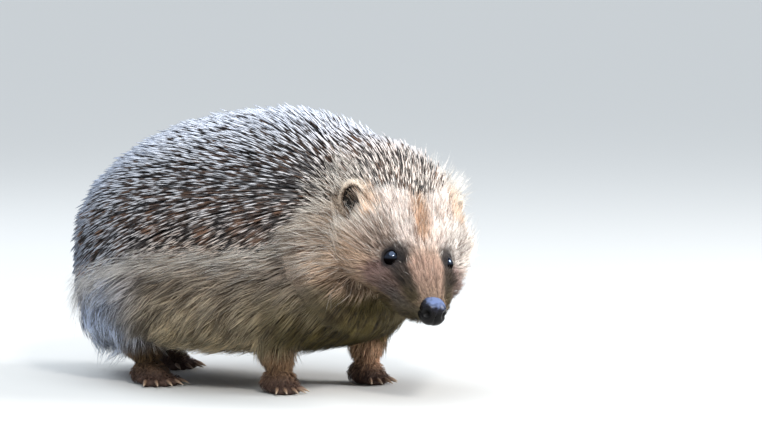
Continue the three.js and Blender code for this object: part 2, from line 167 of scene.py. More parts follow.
# Each box: where it hangs, its colour, its watts, how far off and how wide it is in metres.
SOFTBOXES = [
    ("front_box", 46, 34, (1.0, 0.95, 0.89), 8.5, 1.2, 0.15),
    ("far_box", 118, 28, (1.0, 0.99, 0.98), 18, 1.3, 0.5),
    ("rear_box", 260, 38, (0.86, 0.93, 1.0), 6, 1.4, 0.6),
]
hang("open_sky", "SUN", 24, 68, (0.84, 0.93, 1.0), 2.3).angle = np.radians(SKY_SPREAD)
for name, azimuth, elevation, colour, watts, distance, size in SOFTBOXES:
    hang(name, "AREA", azimuth, elevation, colour, watts, distance).size = size
print("lamps:", 1 + len(SOFTBOXES))

# %% Light from all round
ROOM = {"Color": (0.93, 0.95, 1.0, 1), "Strength": 0.42}
world = bpy.data.worlds.new("studio")
world.use_nodes = True
for socket, value in ROOM.items():
    world.node_tree.nodes["Background"].inputs[socket].default_value = value
bpy.context.scene.world = world
bpy.context.scene.view_settings.view_transform = "Standard"
print("room light:", ROOM["Strength"])

# %% [markdown]
# ## Shader sums
#
# Blender's shader maths is done by Math nodes. Wrapping a socket in a small class lets the sum be written
# as it would be on paper, and each operator adds its node. The other nodes all come from one method.

# %% Sums on sockets
class Amount:
    """A number or a colour that changes over the surface. A sum on a number adds a Math node."""

    def __init__(self, finish, socket):
        self.finish = finish
        self.socket = socket

    def sum(self, operation, *terms):
        return self.finish.node("ShaderNodeMath", {"operation": operation}, dict(enumerate(terms)))

    def __add__(self, other):
        return self.sum("ADD", self, other)

    def __sub__(self, other):
        return self.sum("SUBTRACT", self, other)

    def __rsub__(self, other):
        return self.sum("SUBTRACT", other, self)

    def __mul__(self, other):
        return self.sum("MULTIPLY", self, other)

    __radd__ = __add__
    __rmul__ = __mul__

    def held(self):
        """The number kept between 0 and 1."""
        return self.finish.node("ShaderNodeClamp", {}, {"Value": self})


# %% Finishes
class Finish:
    """One material: a glossy base shader, with numbers that are the same all over set on its sockets."""

    def __init__(self, name, **fixed):
        self.material = bpy.data.materials.new(name)
        self.material.use_nodes = True
        self.tree = self.material.node_tree
        self.shader = self.tree.nodes["Principled BSDF"]
        for socket, value in fixed.items():
            self.shader.inputs[socket.replace("_", " ")].default_value = value

    def node(self, kind, settings, inputs, output=0):
        """Adds a node: its settings first, then each input's number or link. Gives one output back."""
        made = self.tree.nodes.new(kind)
        for key, value in settings.items():
            if key == "stops":
                self.set_stops(made.color_ramp, value)
            else:
                setattr(made, key, value)
        for socket, value in inputs.items():
            if isinstance(value, Amount):
                self.tree.links.new(value.socket, made.inputs[socket])
            elif value is not None:
                made.inputs[socket].default_value = value
        return Amount(self, made.outputs[output])

    @staticmethod
    def set_stops(ramp, stops):
        while len(ramp.elements) < len(stops):
            ramp.elements.new(1)
        for element, (place, colour) in zip(ramp.elements, stops):
            element.position = place
            element.color = (*colour, 1)

    def attribute(self, name, colour=False):
        return self.node("ShaderNodeAttribute", {"attribute_name": name}, {}, "Color" if colour else "Fac")

    def place(self):
        """The object's own coordinates, in metres."""
        return self.node("ShaderNodeTexCoord", {}, {}, "Object")

    def noise(self, scale, detail=3):
        """Noise on the object's own coordinates, in features per metre."""
        return self.node("ShaderNodeTexNoise", {}, {"Vector": self.place(), "Scale": scale, "Detail": detail})

    def ramp(self, amount, stops):
        return self.node("ShaderNodeValToRGB", {"stops": stops}, {"Fac": amount})

    def mix(self, share, first, second, way="MIX"):
        """Mixes two colours. Sockets 6 and 7 are the Mix node's two colours, and output 2 is its result."""
        settings = {"data_type": "RGBA", "blend_type": way}
        return self.node("ShaderNodeMix", settings, {0: share, 6: first, 7: second}, 2)

    def times(self, colour, amount):
        """A colour made brighter or darker by a number."""
        return self.node("ShaderNodeVectorMath", {"operation": "SCALE"}, {0: colour, "Scale": amount})

    def bump(self, height, strength, distance):
        inputs = {"Height": height, "Strength": strength, "Distance": distance}
        return self.node("ShaderNodeBump", {}, inputs)

    def feed(self, **sockets):
        """Links what changes over the surface into the shader."""
        for socket, value in sockets.items():
            self.tree.links.new(value.socket, self.shader.inputs[socket.replace("_", " ")])
        return self.material


# %% Colours
def paint(red, green, blue):
    """A colour as seen on a screen, 0 to 255, as linear light: the screen's curve taken off."""
    screen = np.array([red, green, blue]) / 255
    return np.where(screen < 0.04045, screen / 12.92, ((screen + 0.055) / 1.055) ** 2.4)


print("middle grey is", paint(128, 128, 128).round(3))

# %% [markdown]
# ## Meshes from arrays
#
# Every shape here is a grid of points or a bundle of such grids. One function puts points and faces into
# a mesh with foreach_set, which takes whole arrays. A closed tube is a grid whose columns wrap round, with
# a fan of triangles over each end.

# %% Points and faces into a mesh
def mesh_piece(name, points, faces, material=None, uv=None, amounts=()):
    """An object from points (in the animal's millimetres) and a list of face arrays, triangles or quads.

    uv is one place for each point on the map that the coat's colours are kept on. amounts are (name,
    values) pairs, one value or one colour for each point.
    """
    mesh = bpy.data.meshes.new(name)
    spots = place_in_frame(np.reshape(points, (-1, 3))).astype(np.float32)
    sides = np.concatenate([np.full(len(f), f.shape[1]) for f in faces])
    corners = np.concatenate([f.ravel() for f in faces]).astype(np.int32)
    starts = np.concatenate([[0], np.cumsum(sides)[:-1]]).astype(np.int32)
    mesh.vertices.add(len(spots))
    mesh.vertices.foreach_set("co", spots.ravel())
    mesh.loops.add(len(corners))
    mesh.loops.foreach_set("vertex_index", corners)
    mesh.polygons.add(len(sides))
    mesh.polygons.foreach_set("loop_start", starts)
    mesh.update(calc_edges=True)
    mesh.shade_smooth()
    if uv is not None:
        layer = mesh.uv_layers.new(name="OFBake")
        layer.uv.foreach_set("vector", uv.reshape(-1, 2)[corners].astype(np.float32).ravel())
    for key, values in amounts:
        values = np.asarray(values, np.float32)
        if values.ndim == 1:
            mesh.attributes.new(key, "FLOAT", "POINT").data.foreach_set("value", values)
        else:
            opaque = np.column_stack([values, np.ones(len(values), np.float32)])
            mesh.attributes.new(key, "FLOAT_COLOR", "POINT").data.foreach_set("color", opaque.ravel())
    made = bpy.data.objects.new(name, mesh)
    bpy.context.scene.collection.objects.link(made)
    if material:
        mesh.materials.append(material)
    return made


# %% Small sums on arrays
def unit(vectors):
    """Vectors at length 1."""
    return vectors / np.maximum(np.linalg.norm(vectors, axis=-1, keepdims=True), 1e-9)


def step_up(low, high, value):
    """A smooth step: 0 up to low, 1 from high on, and t·t·(3 - 2t) between."""
    t = np.clip((value - low) / (high - low), 0, 1)
    return t * t * (3 - 2 * t)


def smooth_line(knots):
    """A smooth line through (place, value) knots: a cubic whose slope at a knot is its neighbours'."""
    places, values = np.array(knots, float).T
    last = len(places) - 1
    before = np.maximum(np.arange(last + 1) - 1, 0)
    after = np.minimum(np.arange(last + 1) + 1, last)
    slopes = (values[after] - values[before]) / (places[after] - places[before])

    def line(place):
        i = np.clip(np.searchsorted(places, place) - 1, 0, last - 1)
        span = places[i + 1] - places[i]
        t = np.clip((place - places[i]) / span, 0, 1)
        rise = t * t * (3 - 2 * t)
        bend = slopes[i] * t * (1 - t) ** 2 + slopes[i + 1] * t * t * (t - 1)
        return values[i] + (values[i + 1] - values[i]) * rise + span * bend

    return line


print("a quarter of the way up a smooth step:", step_up(0, 1, 0.25))

# %% Rings and closed tubes
POLE = 0.02  # radians from a pole to the nearest ring, which a small fan closes


def pole_to_pole(rows):
    """Angles from one pole of a closed shape to the other."""
    return np.linspace(POLE, np.pi - POLE, rows)


def rings(centres, side, up, reach_side, reach_up, reach_down, round_top=2, round_bottom=2, around=64):
    """Superelliptic rings, one per row: side·|cos|^(2/n) across and up or down·|sin|^(2/n) high."""
    turn = np.linspace(0, 2 * np.pi, around, endpoint=False)
    c, s = np.cos(turn), np.sin(turn)
    power = 2 / np.where(s >= 0, round_top, round_bottom)
    across = np.sign(c) * np.abs(c) ** power * np.reshape(reach_side, (-1, 1))
    tall = np.where(s >= 0, np.reshape(reach_up, (-1, 1)), np.reshape(reach_down, (-1, 1)))
    high = np.sign(s) * np.abs(s) ** power * tall
    side, up = np.reshape(side, (-1, 1, 3)), np.reshape(up, (-1, 1, 3))
    return np.reshape(centres, (-1, 1, 3)) + side * across[..., None] + up * high[..., None]


def closed_tube(grid):
    """Points and faces of a grid whose columns wrap round, with a fan over its first and last row."""
    rows, around = grid.shape[:2]
    k = np.arange(around)
    ahead = (k + 1) % around
    row = (np.arange(rows - 1) * around)[:, None]
    quads = np.stack([row + k, row + ahead, row + ahead + around, row + k + around], -1).reshape(-1, 4)
    end = (rows - 1) * around
    fans = np.concatenate([
        np.stack([ahead, k, np.full(around, rows * around)], -1),
        np.stack([end + k, end + ahead, np.full(around, rows * around + 1)], -1),
    ])
    points = np.concatenate([grid.reshape(-1, 3), grid[:1].mean(1), grid[-1:].mean(1)])
    return outward(points, [quads, fans])


def outward(points, faces):
    """The faces turned outwards: the body's volume, summed over its faces, comes out above zero."""
    volume = 0
    for f in faces:
        a, b, c = points[f[:, 0]], points[f[:, 1]], points[f[:, 2]]
        volume += np.einsum("ij,ij->", a, np.cross(b, c))
        if f.shape[1] == 4:
            volume += np.einsum("ij,ij->", a, np.cross(c, points[f[:, 3]]))
    return points, faces if volume > 0 else [f[:, ::-1] for f in faces]


one_ring = rings(np.zeros(3), (0, 1, 0), (0, 0, 1), 1, 1, 1)
print("points in a ring:", one_ring.shape[1])

# %% Balls, and several shapes as one
def together(shapes):
    """Several (points, faces) shapes as one."""
    start = np.cumsum([0] + [len(points) for points, _ in shapes])
    faces = [f + s for (_, parts), s in zip(shapes, start) for f in parts]
    return np.concatenate([points for points, _ in shapes]), faces


def globe(centre, axes, radii, rows=24, around=32):
    """A ball stretched by three radii along three axes."""
    turn = pole_to_pole(rows)
    along = centre + np.outer(-np.cos(turn) * radii[0], axes[0])
    return rings(along, axes[1], axes[2], np.sin(turn) * radii[1], np.sin(turn) * radii[2],
                 np.sin(turn) * radii[2], around=around)


ball_points, _ = closed_tube(globe(np.zeros(3), np.eye(3), (1, 1, 1)))
print("a ball of radius 1 has", len(ball_points), "points out to", ball_points.max().round(3))

# %% [markdown]
# ## The head's own frame
#
# The head is turned to the animal's right, tipped down and rolled a little. All that belongs to it, from
# its rings to its markings, is simplest in its own three axes, so two functions go there and back.

# %% The head's own frame
yaw, pitch, roll = np.radians([HEAD["yaw"], HEAD["pitch"], HEAD["roll"]])
forward = np.array([np.cos(pitch) * np.cos(yaw), np.cos(pitch) * np.sin(yaw), np.sin(pitch)])
level = np.array([-np.sin(yaw), np.cos(yaw), 0])
upright = np.cross(forward, level)
head_left = level * np.cos(roll) - upright * np.sin(roll)
head_up = upright * np.cos(roll) + level * np.sin(roll)
head_axes = np.array([forward, head_left, head_up])
eye_middle = np.array(HEAD["eyes"], float)


def in_head(ahead, aside, lift):
    """A place in the head's frame as a place in the body's."""
    parts = np.stack(np.broadcast_arrays(ahead, aside, lift), -1)
    return eye_middle + parts @ head_axes


def head_place(points):
    """How far ahead of the eyes, to the left and above the axis each point is."""
    return ((points - eye_middle) @ head_axes.T).T


ring_at = np.array(HEAD_RINGS)[:, 0]
head_lift, head_side, head_high, head_low = (
    smooth_line([(row[0], row[k]) for row in HEAD_RINGS]) for k in (1, 2, 3, 4)
)
head_coat = smooth_line(HEAD_COAT)
print("head looks towards", forward.round(2))

# %% [markdown]
# ## The skin
#
# Trunk, neck, head, jaw, legs, paws and tail are lofts like the solids, but drawn in by the depth of the
# coat. They could be joined with booleans, which leave hard creases where a leg meets the flank. A voxel
# remesh melts them into one surface instead, and a few rounds of smoothing fill the creases.

# %% Loft of the trunk
def bow(outline, x, coat):
    """How far a bowed outline stands out at x, drawn in by the coat's depth."""
    rear, front = TRUNK["rear"] + TRUNK_COAT["rear"], TRUNK["front"] - TRUNK_COAT["front"]
    half = np.where(x < outline["widest"], outline["widest"] - rear, front - outline["widest"])
    share = np.minimum(np.abs(x - outline["widest"]) / half, 1)
    return (outline["reach"] - coat) * (1 - share ** outline["power"]) ** (1 / outline["power"])


def trunk_loft():
    """Rings along X, closer together towards both poles."""
    turn = pole_to_pole(110)
    rear, front = TRUNK["rear"] + TRUNK_COAT["rear"], TRUNK["front"] - TRUNK_COAT["front"]
    x = (rear + front) / 2 - (front - rear) / 2 * np.cos(turn)
    centres = np.stack([x, 0 * x, 0 * x + TRUNK["height"]], -1)
    return rings(centres, (0, 1, 0), (0, 0, 1), bow(TRUNK_SIDE, x, TRUNK_COAT["side"]),
                 bow(TRUNK_TOP, x, TRUNK_COAT["top"]), bow(TRUNK_BOTTOM, x, TRUNK_COAT["bottom"]),
                 TRUNK["round_top"], TRUNK["round_bottom"], 120)


print("trunk:", trunk_loft().shape[:2], "rings and points round each")

# %% Lofts of the neck, the head and the jaw
def neck_loft():
    """Rings on a cubic curve that leaves the trunk straight ahead and arrives along the head's axis."""
    at, lift, side, up, down = HEAD_RINGS[0]
    start, end = np.array([NECK_ROOT["x"], 0, NECK_ROOT["height"]]), in_head(at, 0, lift)
    pull = np.linalg.norm(end - start) * NECK_EASE
    pins = np.array([start, start + [pull, 0, 0], end - forward * pull, end])
    t = np.linspace(0, 1, 30)[:-1, None]
    centres = np.hstack([(1 - t) ** 3, 3 * t * (1 - t) ** 2, 3 * t * t * (1 - t), t ** 3]) @ pins
    ahead = unit(np.hstack([(1 - t) ** 2, 2 * t * (1 - t), t * t]) @ (pins[1:] - pins[:-1]))
    across = unit((1 - t) * [0, 1, 0] + t * head_left)
    high = unit(np.cross(ahead, across))
    t = t[:, 0]
    waist = 1 - (1 - NECK_WAIST) * np.sin(np.pi * t)
    coat = TRUNK_COAT["top"] + (head_coat(at) - TRUNK_COAT["top"]) * t
    reach = [(NECK_ROOT[key] + (value - NECK_ROOT[key]) * t) * waist - coat
             for key, value in (("side", side), ("up", up), ("down", down))]
    return rings(centres, np.cross(high, ahead), high, *reach)


def head_loft():
    """Rings from the ears to the nose, then a rounded end behind the nose."""
    at = np.linspace(ring_at[0], ring_at[-1], 70)
    coat = head_coat(at)
    body = rings(in_head(at, 0, head_lift(at)), head_left, head_up,
                 head_side(at) - coat, head_high(at) - coat, head_low(at) - coat)
    turn = np.linspace(0, np.pi / 2, 7)[1:-1]
    middle = body[-1].mean(0)
    shrunk = (body[-1] - middle) * np.cos(turn)[:, None, None]
    end = middle + shrunk + forward * np.sin(turn)[:, None, None] * MUZZLE_END
    return np.concatenate([body, end])


def jaw_loft():
    """Rings from the jaw's root to its tip, rounded off by √(1 - t⁶)."""
    t = np.linspace(0, 1, 24)
    taper = np.maximum(np.sqrt(1 - t ** 6), 0.1)
    at, drop, wide, high = (JAW_ROOT[key] + (JAW_TIP[key] - JAW_ROOT[key]) * t
                            for key in ("at", "drop", "wide", "high"))
    wide, high = (wide - JAW_COAT) * taper, (high - JAW_COAT) * taper
    return rings(in_head(at, 0, -drop), head_left, head_up, wide, high, high, around=36)


print("head:", head_loft().shape[:2], "and neck:", neck_loft().shape[:2])

# %% [markdown]
# ## Legs, paws and tail
#
# A leg is a round tube through its hip, knee and ankle. A paw is a flattened palm with five toes in a fan.
# The toes are separate balls that the remesh joins at their roots, so that their tips stay apart.

# %% Lofts of the legs, the paws and the tail
def limb_loft(places, radii, rows=30, around=32):
    """A round tube on a smooth curve through places, with a radius at each, square to the curve."""
    places = np.array(places, float)
    knots = np.linspace(0, 1, len(places))
    t = np.linspace(0, 1, rows)
    centres = np.stack([smooth_line(list(zip(knots, places[:, k])))(t) for k in range(3)], -1)
    radius = smooth_line(list(zip(knots, radii)))(t)
    along = unit(np.gradient(centres, axis=0))
    across = unit(np.cross([1, 0, 0], along))
    return rings(centres, across, np.cross(along, across), radius, radius, radius, around=around)


def leg_loft(foot, top):
    """A tube from the hip through the knee to the ankle, and on down into the paw."""
    knee = ((top[0] + foot[0]) / 2, (top[1] + foot[1]) / 2, LEG["knee_height"])
    places = [top, knee, (*foot, LEG["ankle_height"]), (*foot, LEG["ankle_height"] / 2)]
    return limb_loft(places, np.array([LEG["top"], LEG["knee"], LEG["ankle"], LEG["ankle"]]) - LEG_COAT)


def toes_of(foot, toes_out, hind):
    """For each toe: where its middle is and its two level axes, forward and to its left."""
    size = HIND_PAW if hind else FRONT_PAW
    count = np.arange(TOES) - (TOES - 1) / 2
    heading = np.radians(toes_out)
    fan = np.radians(TOE_SPREAD) * count
    reach = size["reach"] - np.abs(count) * TOE_STEP_BACK
    ahead, aside = size["heel"] + reach * np.cos(fan), reach * np.sin(fan)
    x = foot[0] + ahead * np.cos(heading) - aside * np.sin(heading)
    y = foot[1] + ahead * np.sin(heading) + aside * np.cos(heading)
    c, s, flat = np.cos(heading + fan), np.sin(heading + fan), 0 * fan
    middles = np.stack([x, y, flat + size["toe"][1] - SOLE_CUT / 2], -1)
    return middles, np.stack([c, s, flat], -1), np.stack([-s, c, flat], -1)


def paw_lofts(foot, toes_out, hind):
    """A palm and five toes, each a ball stretched along its own way."""
    size = HIND_PAW if hind else FRONT_PAW
    heading = np.radians(toes_out)
    ahead = np.array([np.cos(heading), np.sin(heading), 0])
    across = np.array([-ahead[1], ahead[0], 0])
    palm = np.array(size["palm"]) - PAW_COAT
    middle = np.array([*foot, palm[2] - SOLE_CUT]) + ahead * size["heel"]
    lofts = [globe(middle, (ahead, across, (0, 0, 1)), palm)]
    long, wide = np.array(size["toe"]) - PAW_COAT / 2
    for place, way, side in zip(*toes_of(foot, toes_out, hind)):
        lofts.append(globe(place, (way, side, (0, 0, 1)), (long, wide, wide), 14, 16))
    return lofts


print("balls in a paw:", len(paw_lofts(*LEGS["front_right"][:2], False)))

# %% All the lofts
lofts = [trunk_loft(), np.concatenate([neck_loft(), head_loft()]), jaw_loft()]
for foot, toes_out, top, hind in LEGS.values():
    lofts += [leg_loft(foot, top), *paw_lofts(foot, toes_out, hind)]
tail_radii = (TAIL["root_radius"] - TAIL_COAT, TAIL["tip_radius"] - TAIL_COAT)
lofts.append(limb_loft([TAIL["root"], TAIL["tip"]], tail_radii, 14, 20))
print("lofts:", len(lofts), "rings and balls")

# %% Melting the lofts into one skin
VOXEL = 1.0  # millimetres: fine enough for toes, and under 200,000 triangles in all


def melted(shapes, voxel):
    """One surface of quads over several overlapping closed shapes, by Blender's voxel remesh."""
    rough = mesh_piece("rough_skin", *together(shapes))
    remesh = rough.modifiers.new("melt", "REMESH")
    remesh.mode = "VOXEL"
    remesh.voxel_size = voxel * MM
    mesh = rough.evaluated_get(bpy.context.evaluated_depsgraph_get()).data
    points = np.empty(len(mesh.vertices) * 3)
    mesh.vertices.foreach_get("co", points)
    corners = np.empty(len(mesh.loops), np.int32)
    mesh.loops.foreach_get("vertex_index", corners)
    quads = corners.reshape(-1, 4)
    bpy.data.objects.remove(rough)
    return points.reshape(-1, 3) / MM + CENTRE, quads


def eased(points, quads, rounds, push=0.5, back=-0.52):
    """Smoothing that keeps the volume: each round draws points towards their neighbours' middle by the
    push share, then away from it by the back share."""
    ends = np.concatenate([quads[:, [0, 1]], quads[:, [1, 2]], quads[:, [2, 3]], quads[:, [3, 0]]])
    a, b = ends.T
    count = np.maximum(np.bincount(a, minlength=len(points)), 1)[:, None]
    for strength in [push, back] * rounds:
        drawn = np.stack([np.bincount(a, points[b, k], len(points)) for k in range(3)], -1) / count
        points = points + (drawn - points) * strength
    return points


def normals_of(points, quads):
    """The way each point faces: the sum of its faces' cross products of diagonals."""
    cross = np.cross(points[quads[:, 2]] - points[quads[:, 0]], points[quads[:, 3]] - points[quads[:, 1]])
    around = quads.ravel()
    spread = np.repeat(cross, 4, axis=0)
    return unit(np.stack([np.bincount(around, spread[:, k], len(points)) for k in range(3)], -1))


skin_points, skin_quads = melted([closed_tube(grid) for grid in lofts], VOXEL)
skin_points = eased(skin_points, skin_quads, 8)
print("skin:", len(skin_points), "points,", len(skin_quads) * 2, "triangles")

# %% [markdown]
# ## Eye sockets, lids and lips
#
# The remeshed skin is plain. Sculpting would raise the lids and sink the sockets by hand. Here each fold
# is a height over a plane or a line, added where it belongs, so that it can be measured and repeated.

# %% Where eyes and ears sit
EYE_AIM = (0.45, 0.80, 0.40)  # where an eye looks: ahead, aside and up


def eye_centre(side):
    """The middle of an eyeball."""
    return in_head(EYE["ahead"], side * EYE["apart"] / 2, EYE["lift"])


def eye_axes(side):
    """An eye's own axes: the way it looks, one along the face and one across the lids."""
    look = unit(np.array([EYE_AIM[0], side * EYE_AIM[1], EYE_AIM[2]]) @ head_axes)
    along = unit(forward - look * (forward @ look))
    return look, along, np.cross(look, along)


def ear_axes(side):
    """An ear's own axes: the way its cup faces, across it and up it."""
    turn, lean = np.radians([EAR["turn"], -EAR["spread"]]) * side
    turned = np.array([[np.cos(turn), -np.sin(turn), 0], [np.sin(turn), np.cos(turn), 0], [0, 0, 1]])
    leaning = np.array([[1, 0, 0], [0, np.cos(lean), -np.sin(lean)], [0, np.sin(lean), np.cos(lean)]])
    return (head_axes.T @ turned @ leaning).T


def ear_middle(side):
    """The middle of an ear's rim."""
    return in_head(EAR["at"], side * EAR["apart"] / 2, EAR["lift"])


print("right eye at", eye_centre(RIGHT).round(1), "and ear at", ear_middle(RIGHT).round(1))

# %% Relief of the face
# Round each eye: the opening's reach and how tall it is, the radius of the lid and of the socket under the
# ball, how far it is bare, where it starts to fade and ends, how far behind the ball's middle it acts, and
# the radius of its wet edge.
LID = {"opening": 3.5, "tall": 1.06, "raise": 4.4, "sunk": 3.3, "bare": 3.6, "start": 4.6, "end": 6.4,
       "behind": 2.5, "edge": 0.3}
MOUTH = {"from": 3.0, "to": 24.0, "drop": (16.2, 14.2), "width": 0.9, "deep": 1.0}
# Soft swellings of the face, and hollows where high is below zero: ahead, aside, lift, wide, high.
MOUNDS = [
    (21, 5.5, -11, 4.0, 0.8),  # whisker pads
    (9, 9.5, -4, 4.0, -0.9),  # hollows between eye and bridge
    (-4, 13.5, 5, 4.5, 0.8),  # brows
    (-9, 22, -10, 8.0, 1.2),  # cheeks
    (-20, 22, -24, 9.0, 3.5),  # the fold behind the jaw, filled
    (-15, 21, -19, 8.0, 1.8),  # the fold under the cheek, filled
    (-24, 26, -10, 11.0, 4.2),  # the fold behind the cheek, filled
]


def with_lids(points, side):
    """Points near an eye set to a height over the eye's own plane: sunk under the ball inside the
    opening, raised to a thin lid round it, and back to the skin as it was further out."""
    look, along, across = eye_axes(side)
    away = points - eye_centre(side)
    height, u, v = away @ look, away @ along, away @ across
    reach = np.hypot(u, v / LID["tall"])
    under = np.sqrt(np.maximum(LID["sunk"] ** 2 - reach ** 2, 0.2))
    over = np.sqrt(np.maximum(LID["raise"] ** 2 - reach ** 2, 0.2))
    wanted = np.where(reach < LID["opening"], under, np.maximum(over, height))
    share = (1 - step_up(LID["start"], LID["end"], reach)) * (height > -LID["behind"])
    return points + look * ((wanted - height) * share)[:, None]


def with_mouth(points, normals):
    """A groove along the lips: deepest on the line itself and gone at one width from it."""
    ahead, aside, lift = head_place(points)
    share = np.clip((ahead - MOUTH["from"]) / (MOUTH["to"] - MOUTH["from"]), 0, 1)
    line = -(MOUTH["drop"][0] + (MOUTH["drop"][1] - MOUTH["drop"][0]) * share)
    inside = (ahead > MOUTH["from"]) & (ahead < MOUTH["to"] + 2) & (np.abs(aside) < 12)
    depth = MOUTH["deep"] * np.exp(-((lift - line) / MOUTH["width"]) ** 2) * inside
    return points - normals * depth[:, None]


def mound(points, normals, ahead, aside, lift, wide, high):
    """Points moved out by high·exp(-(distance/wide)²) round a place on both sides of the head."""
    a, s, l = head_place(points)
    away = (a - ahead) ** 2 + (np.abs(s) - aside) ** 2 + (l - lift) ** 2
    return points + normals * (high * np.exp(-away / wide ** 2))[:, None]


print("the lids open", 2 * LID["opening"], "mm and the mouth is", MOUTH["to"] - MOUTH["from"], "mm long")

# %% The relief on the skin
normals = normals_of(skin_points, skin_quads)
for place in MOUNDS:
    skin_points = mound(skin_points, normals, *place)
skin_points = with_mouth(skin_points, normals)
for side in (RIGHT, LEFT):
    skin_points = with_lids(skin_points, side)
skin_points[:, 2] = np.maximum(skin_points[:, 2], 0)
skin_normals = normals_of(skin_points, skin_quads)
print("mounds:", len(MOUNDS), "lowest skin point:", skin_points[:, 2].min())

# %% [markdown]
# ## Finding the skin under a hair
#
# A hair has to lie at a set height over the skin all along its length. Searching a tree for every point
# is slow in Python. Instead a box of small cells is filled once with the number of the nearest skin
# point, spreading from cell to cell in ever smaller jumps. After that one look-up serves all hairs.

# %% The nearest skin point for every cell
CELL = 2.0
PADDING = 16.0
box_low = skin_points.min(0) - PADDING
box_shape = np.ceil((skin_points.max(0) + PADDING - box_low) / CELL).astype(int)


def cell_of(points):
    """The number of the cell that each point is in, kept inside the box."""
    cells = np.clip(((points - box_low) / CELL).astype(int), 0, box_shape - 1)
    return np.ravel_multi_index(cells.T, box_shape)


def nearest_owners():
    """Jump flooding: each cell takes over the owner of a cell 8, 4, 2 and 1 away, if that is nearer."""
    owner = np.full(np.prod(box_shape), -1, np.int32)
    owner[cell_of(skin_points)] = np.arange(len(skin_points))
    owner = owner.reshape(box_shape)
    middles = (np.indices(box_shape).transpose(1, 2, 3, 0) + 0.5) * CELL + box_low
    best = np.where(owner >= 0, np.linalg.norm(skin_points[owner] - middles, axis=-1), np.inf)
    for jump in (8, 4, 2, 1, 1):
        for axis in range(3):
            for way in (-jump, jump):
                offered = np.roll(owner, way, axis)
                known = offered >= 0
                far = np.linalg.norm(skin_points[offered[known]] - middles[known], axis=-1)
                nearer = far < best[known]
                where = tuple(index[nearer] for index in np.nonzero(known))
                owner[where] = offered[known][nearer]
                best[where] = far[nearer]
    return owner.ravel()


owners = nearest_owners()


def over_skin(points):
    """For each point: its height over the skin and the way the skin faces there."""
    near = owners[cell_of(points)]
    facing = skin_normals[near]
    return np.einsum("ij,ij->i", points - skin_points[near], facing), facing


print("cells:", owners.size, "empty:", int((owners < 0).sum()))

# %% [markdown]
# ## Where each kind of coat grows, and how it lies
#
# Spines cover the back down to a line along the flank and a line over the brow. From the nose the coat
# sweeps back over the head, then runs along the trunk to the tail, and sinks towards the belly. The lie is
# a vector for every place, flattened onto the skin, so spines, fur and markings all agree.

# %% Where the head ends and the spines begin
# The spines' front line: how far behind the eyes it runs, how it drops back to the ears, and where it ends.
BROW = {"at": -18, "drop": 16, "wide": 22, "most": 1.5, "side": 29}
HEAD_END = {"from": 62, "to": 108, "aside": 25, "bend": 0.9}  # how far from the nose the trunk takes over
HEAD_REACH = (33, 43)  # how far from the head's axis its coat fades
nose_tip = in_head(NOSE["at"] + NOSE["long"], 0, NOSE["lift"])
spine_edge = smooth_line(SPINE_EDGE)


def behind_head(points):
    """0 on the head and 1 on the trunk, by distance from the nose and from the head's own middle."""
    aside = np.maximum(np.abs(head_place(points)[1]) - HEAD_END["aside"], 0)
    away = np.linalg.norm(points - nose_tip, axis=-1) + HEAD_END["bend"] * aside
    return step_up(HEAD_END["from"], HEAD_END["to"], away)


def head_zone(points, start, end):
    """1 on the head, fading to 0 backwards from end to start and away from the head's axis."""
    ahead, aside, lift = head_place(points)
    return step_up(start, end, ahead) * (1 - step_up(*HEAD_REACH, np.hypot(aside, lift)))


def spininess(points):
    """Millimetres inside the spines' edge; below zero the coat is fur. It is the lesser of two distances,
    over the edge along the flank and behind the line over the brow, made ragged by two waves."""
    ahead, aside, _ = head_place(points)
    x, y, z = points.T
    over_edge = z - spine_edge(x - LEFT_SHIFT * step_up(-25, 30, y))
    behind_brow = BROW["at"] - BROW["drop"] * np.minimum((aside / BROW["wide"]) ** 2, BROW["most"]) - ahead
    behind_brow = np.maximum(behind_brow, np.abs(aside) - BROW["side"])
    ragged = 1.5 * np.sin(x * 0.35 + y * 0.21) + 1.0 * np.sin(x * 0.9)
    return np.minimum(over_edge, behind_brow) + ragged


spiny_share = (spininess(skin_points) > 0).mean()
print("share of the skin under spines:", round(float(spiny_share), 2))

# %% Legs and tail
def leg_distance(points):
    """How far each point is from the nearest leg's line, level, from its foot up to its hip."""
    least = np.full(len(points), 999.0)
    for foot, _, top, _ in LEGS.values():
        rise = np.clip((points[:, 2] - LEG["ankle_height"]) / (top[2] - LEG["ankle_height"]), 0, 1)
        line = np.array(foot) + np.outer(rise, np.array(top[:2]) - foot)
        least = np.minimum(least, np.linalg.norm(points[:, :2] - line, axis=-1))
    return least


def on_leg(points):
    """1 on the legs and paws: near the line from the foot to the hip, and low."""
    away, z = leg_distance(points), points[:, 2]
    near = (1 - step_up(10.5, 14, away)) * (1 - step_up(24, 34, z))
    return np.maximum(near, (z < 8) & (away < 24))


def over_leg(points):
    """1 where the belly's hair turns down over the top of a leg."""
    return (1 - step_up(11, 22, leg_distance(points))) * (1 - step_up(20, 40, points[:, 2]))


def on_tail(points):
    """1 in a box round the tail, behind its root."""
    away = points - np.array(TAIL["root"])
    return (away[:, 0] < -3) & (np.abs(away[:, 1] - 2) < 8) & (np.abs(away[:, 2] + 2) < 8)


print("share of the skin on the legs:", on_leg(skin_points).mean().round(2))

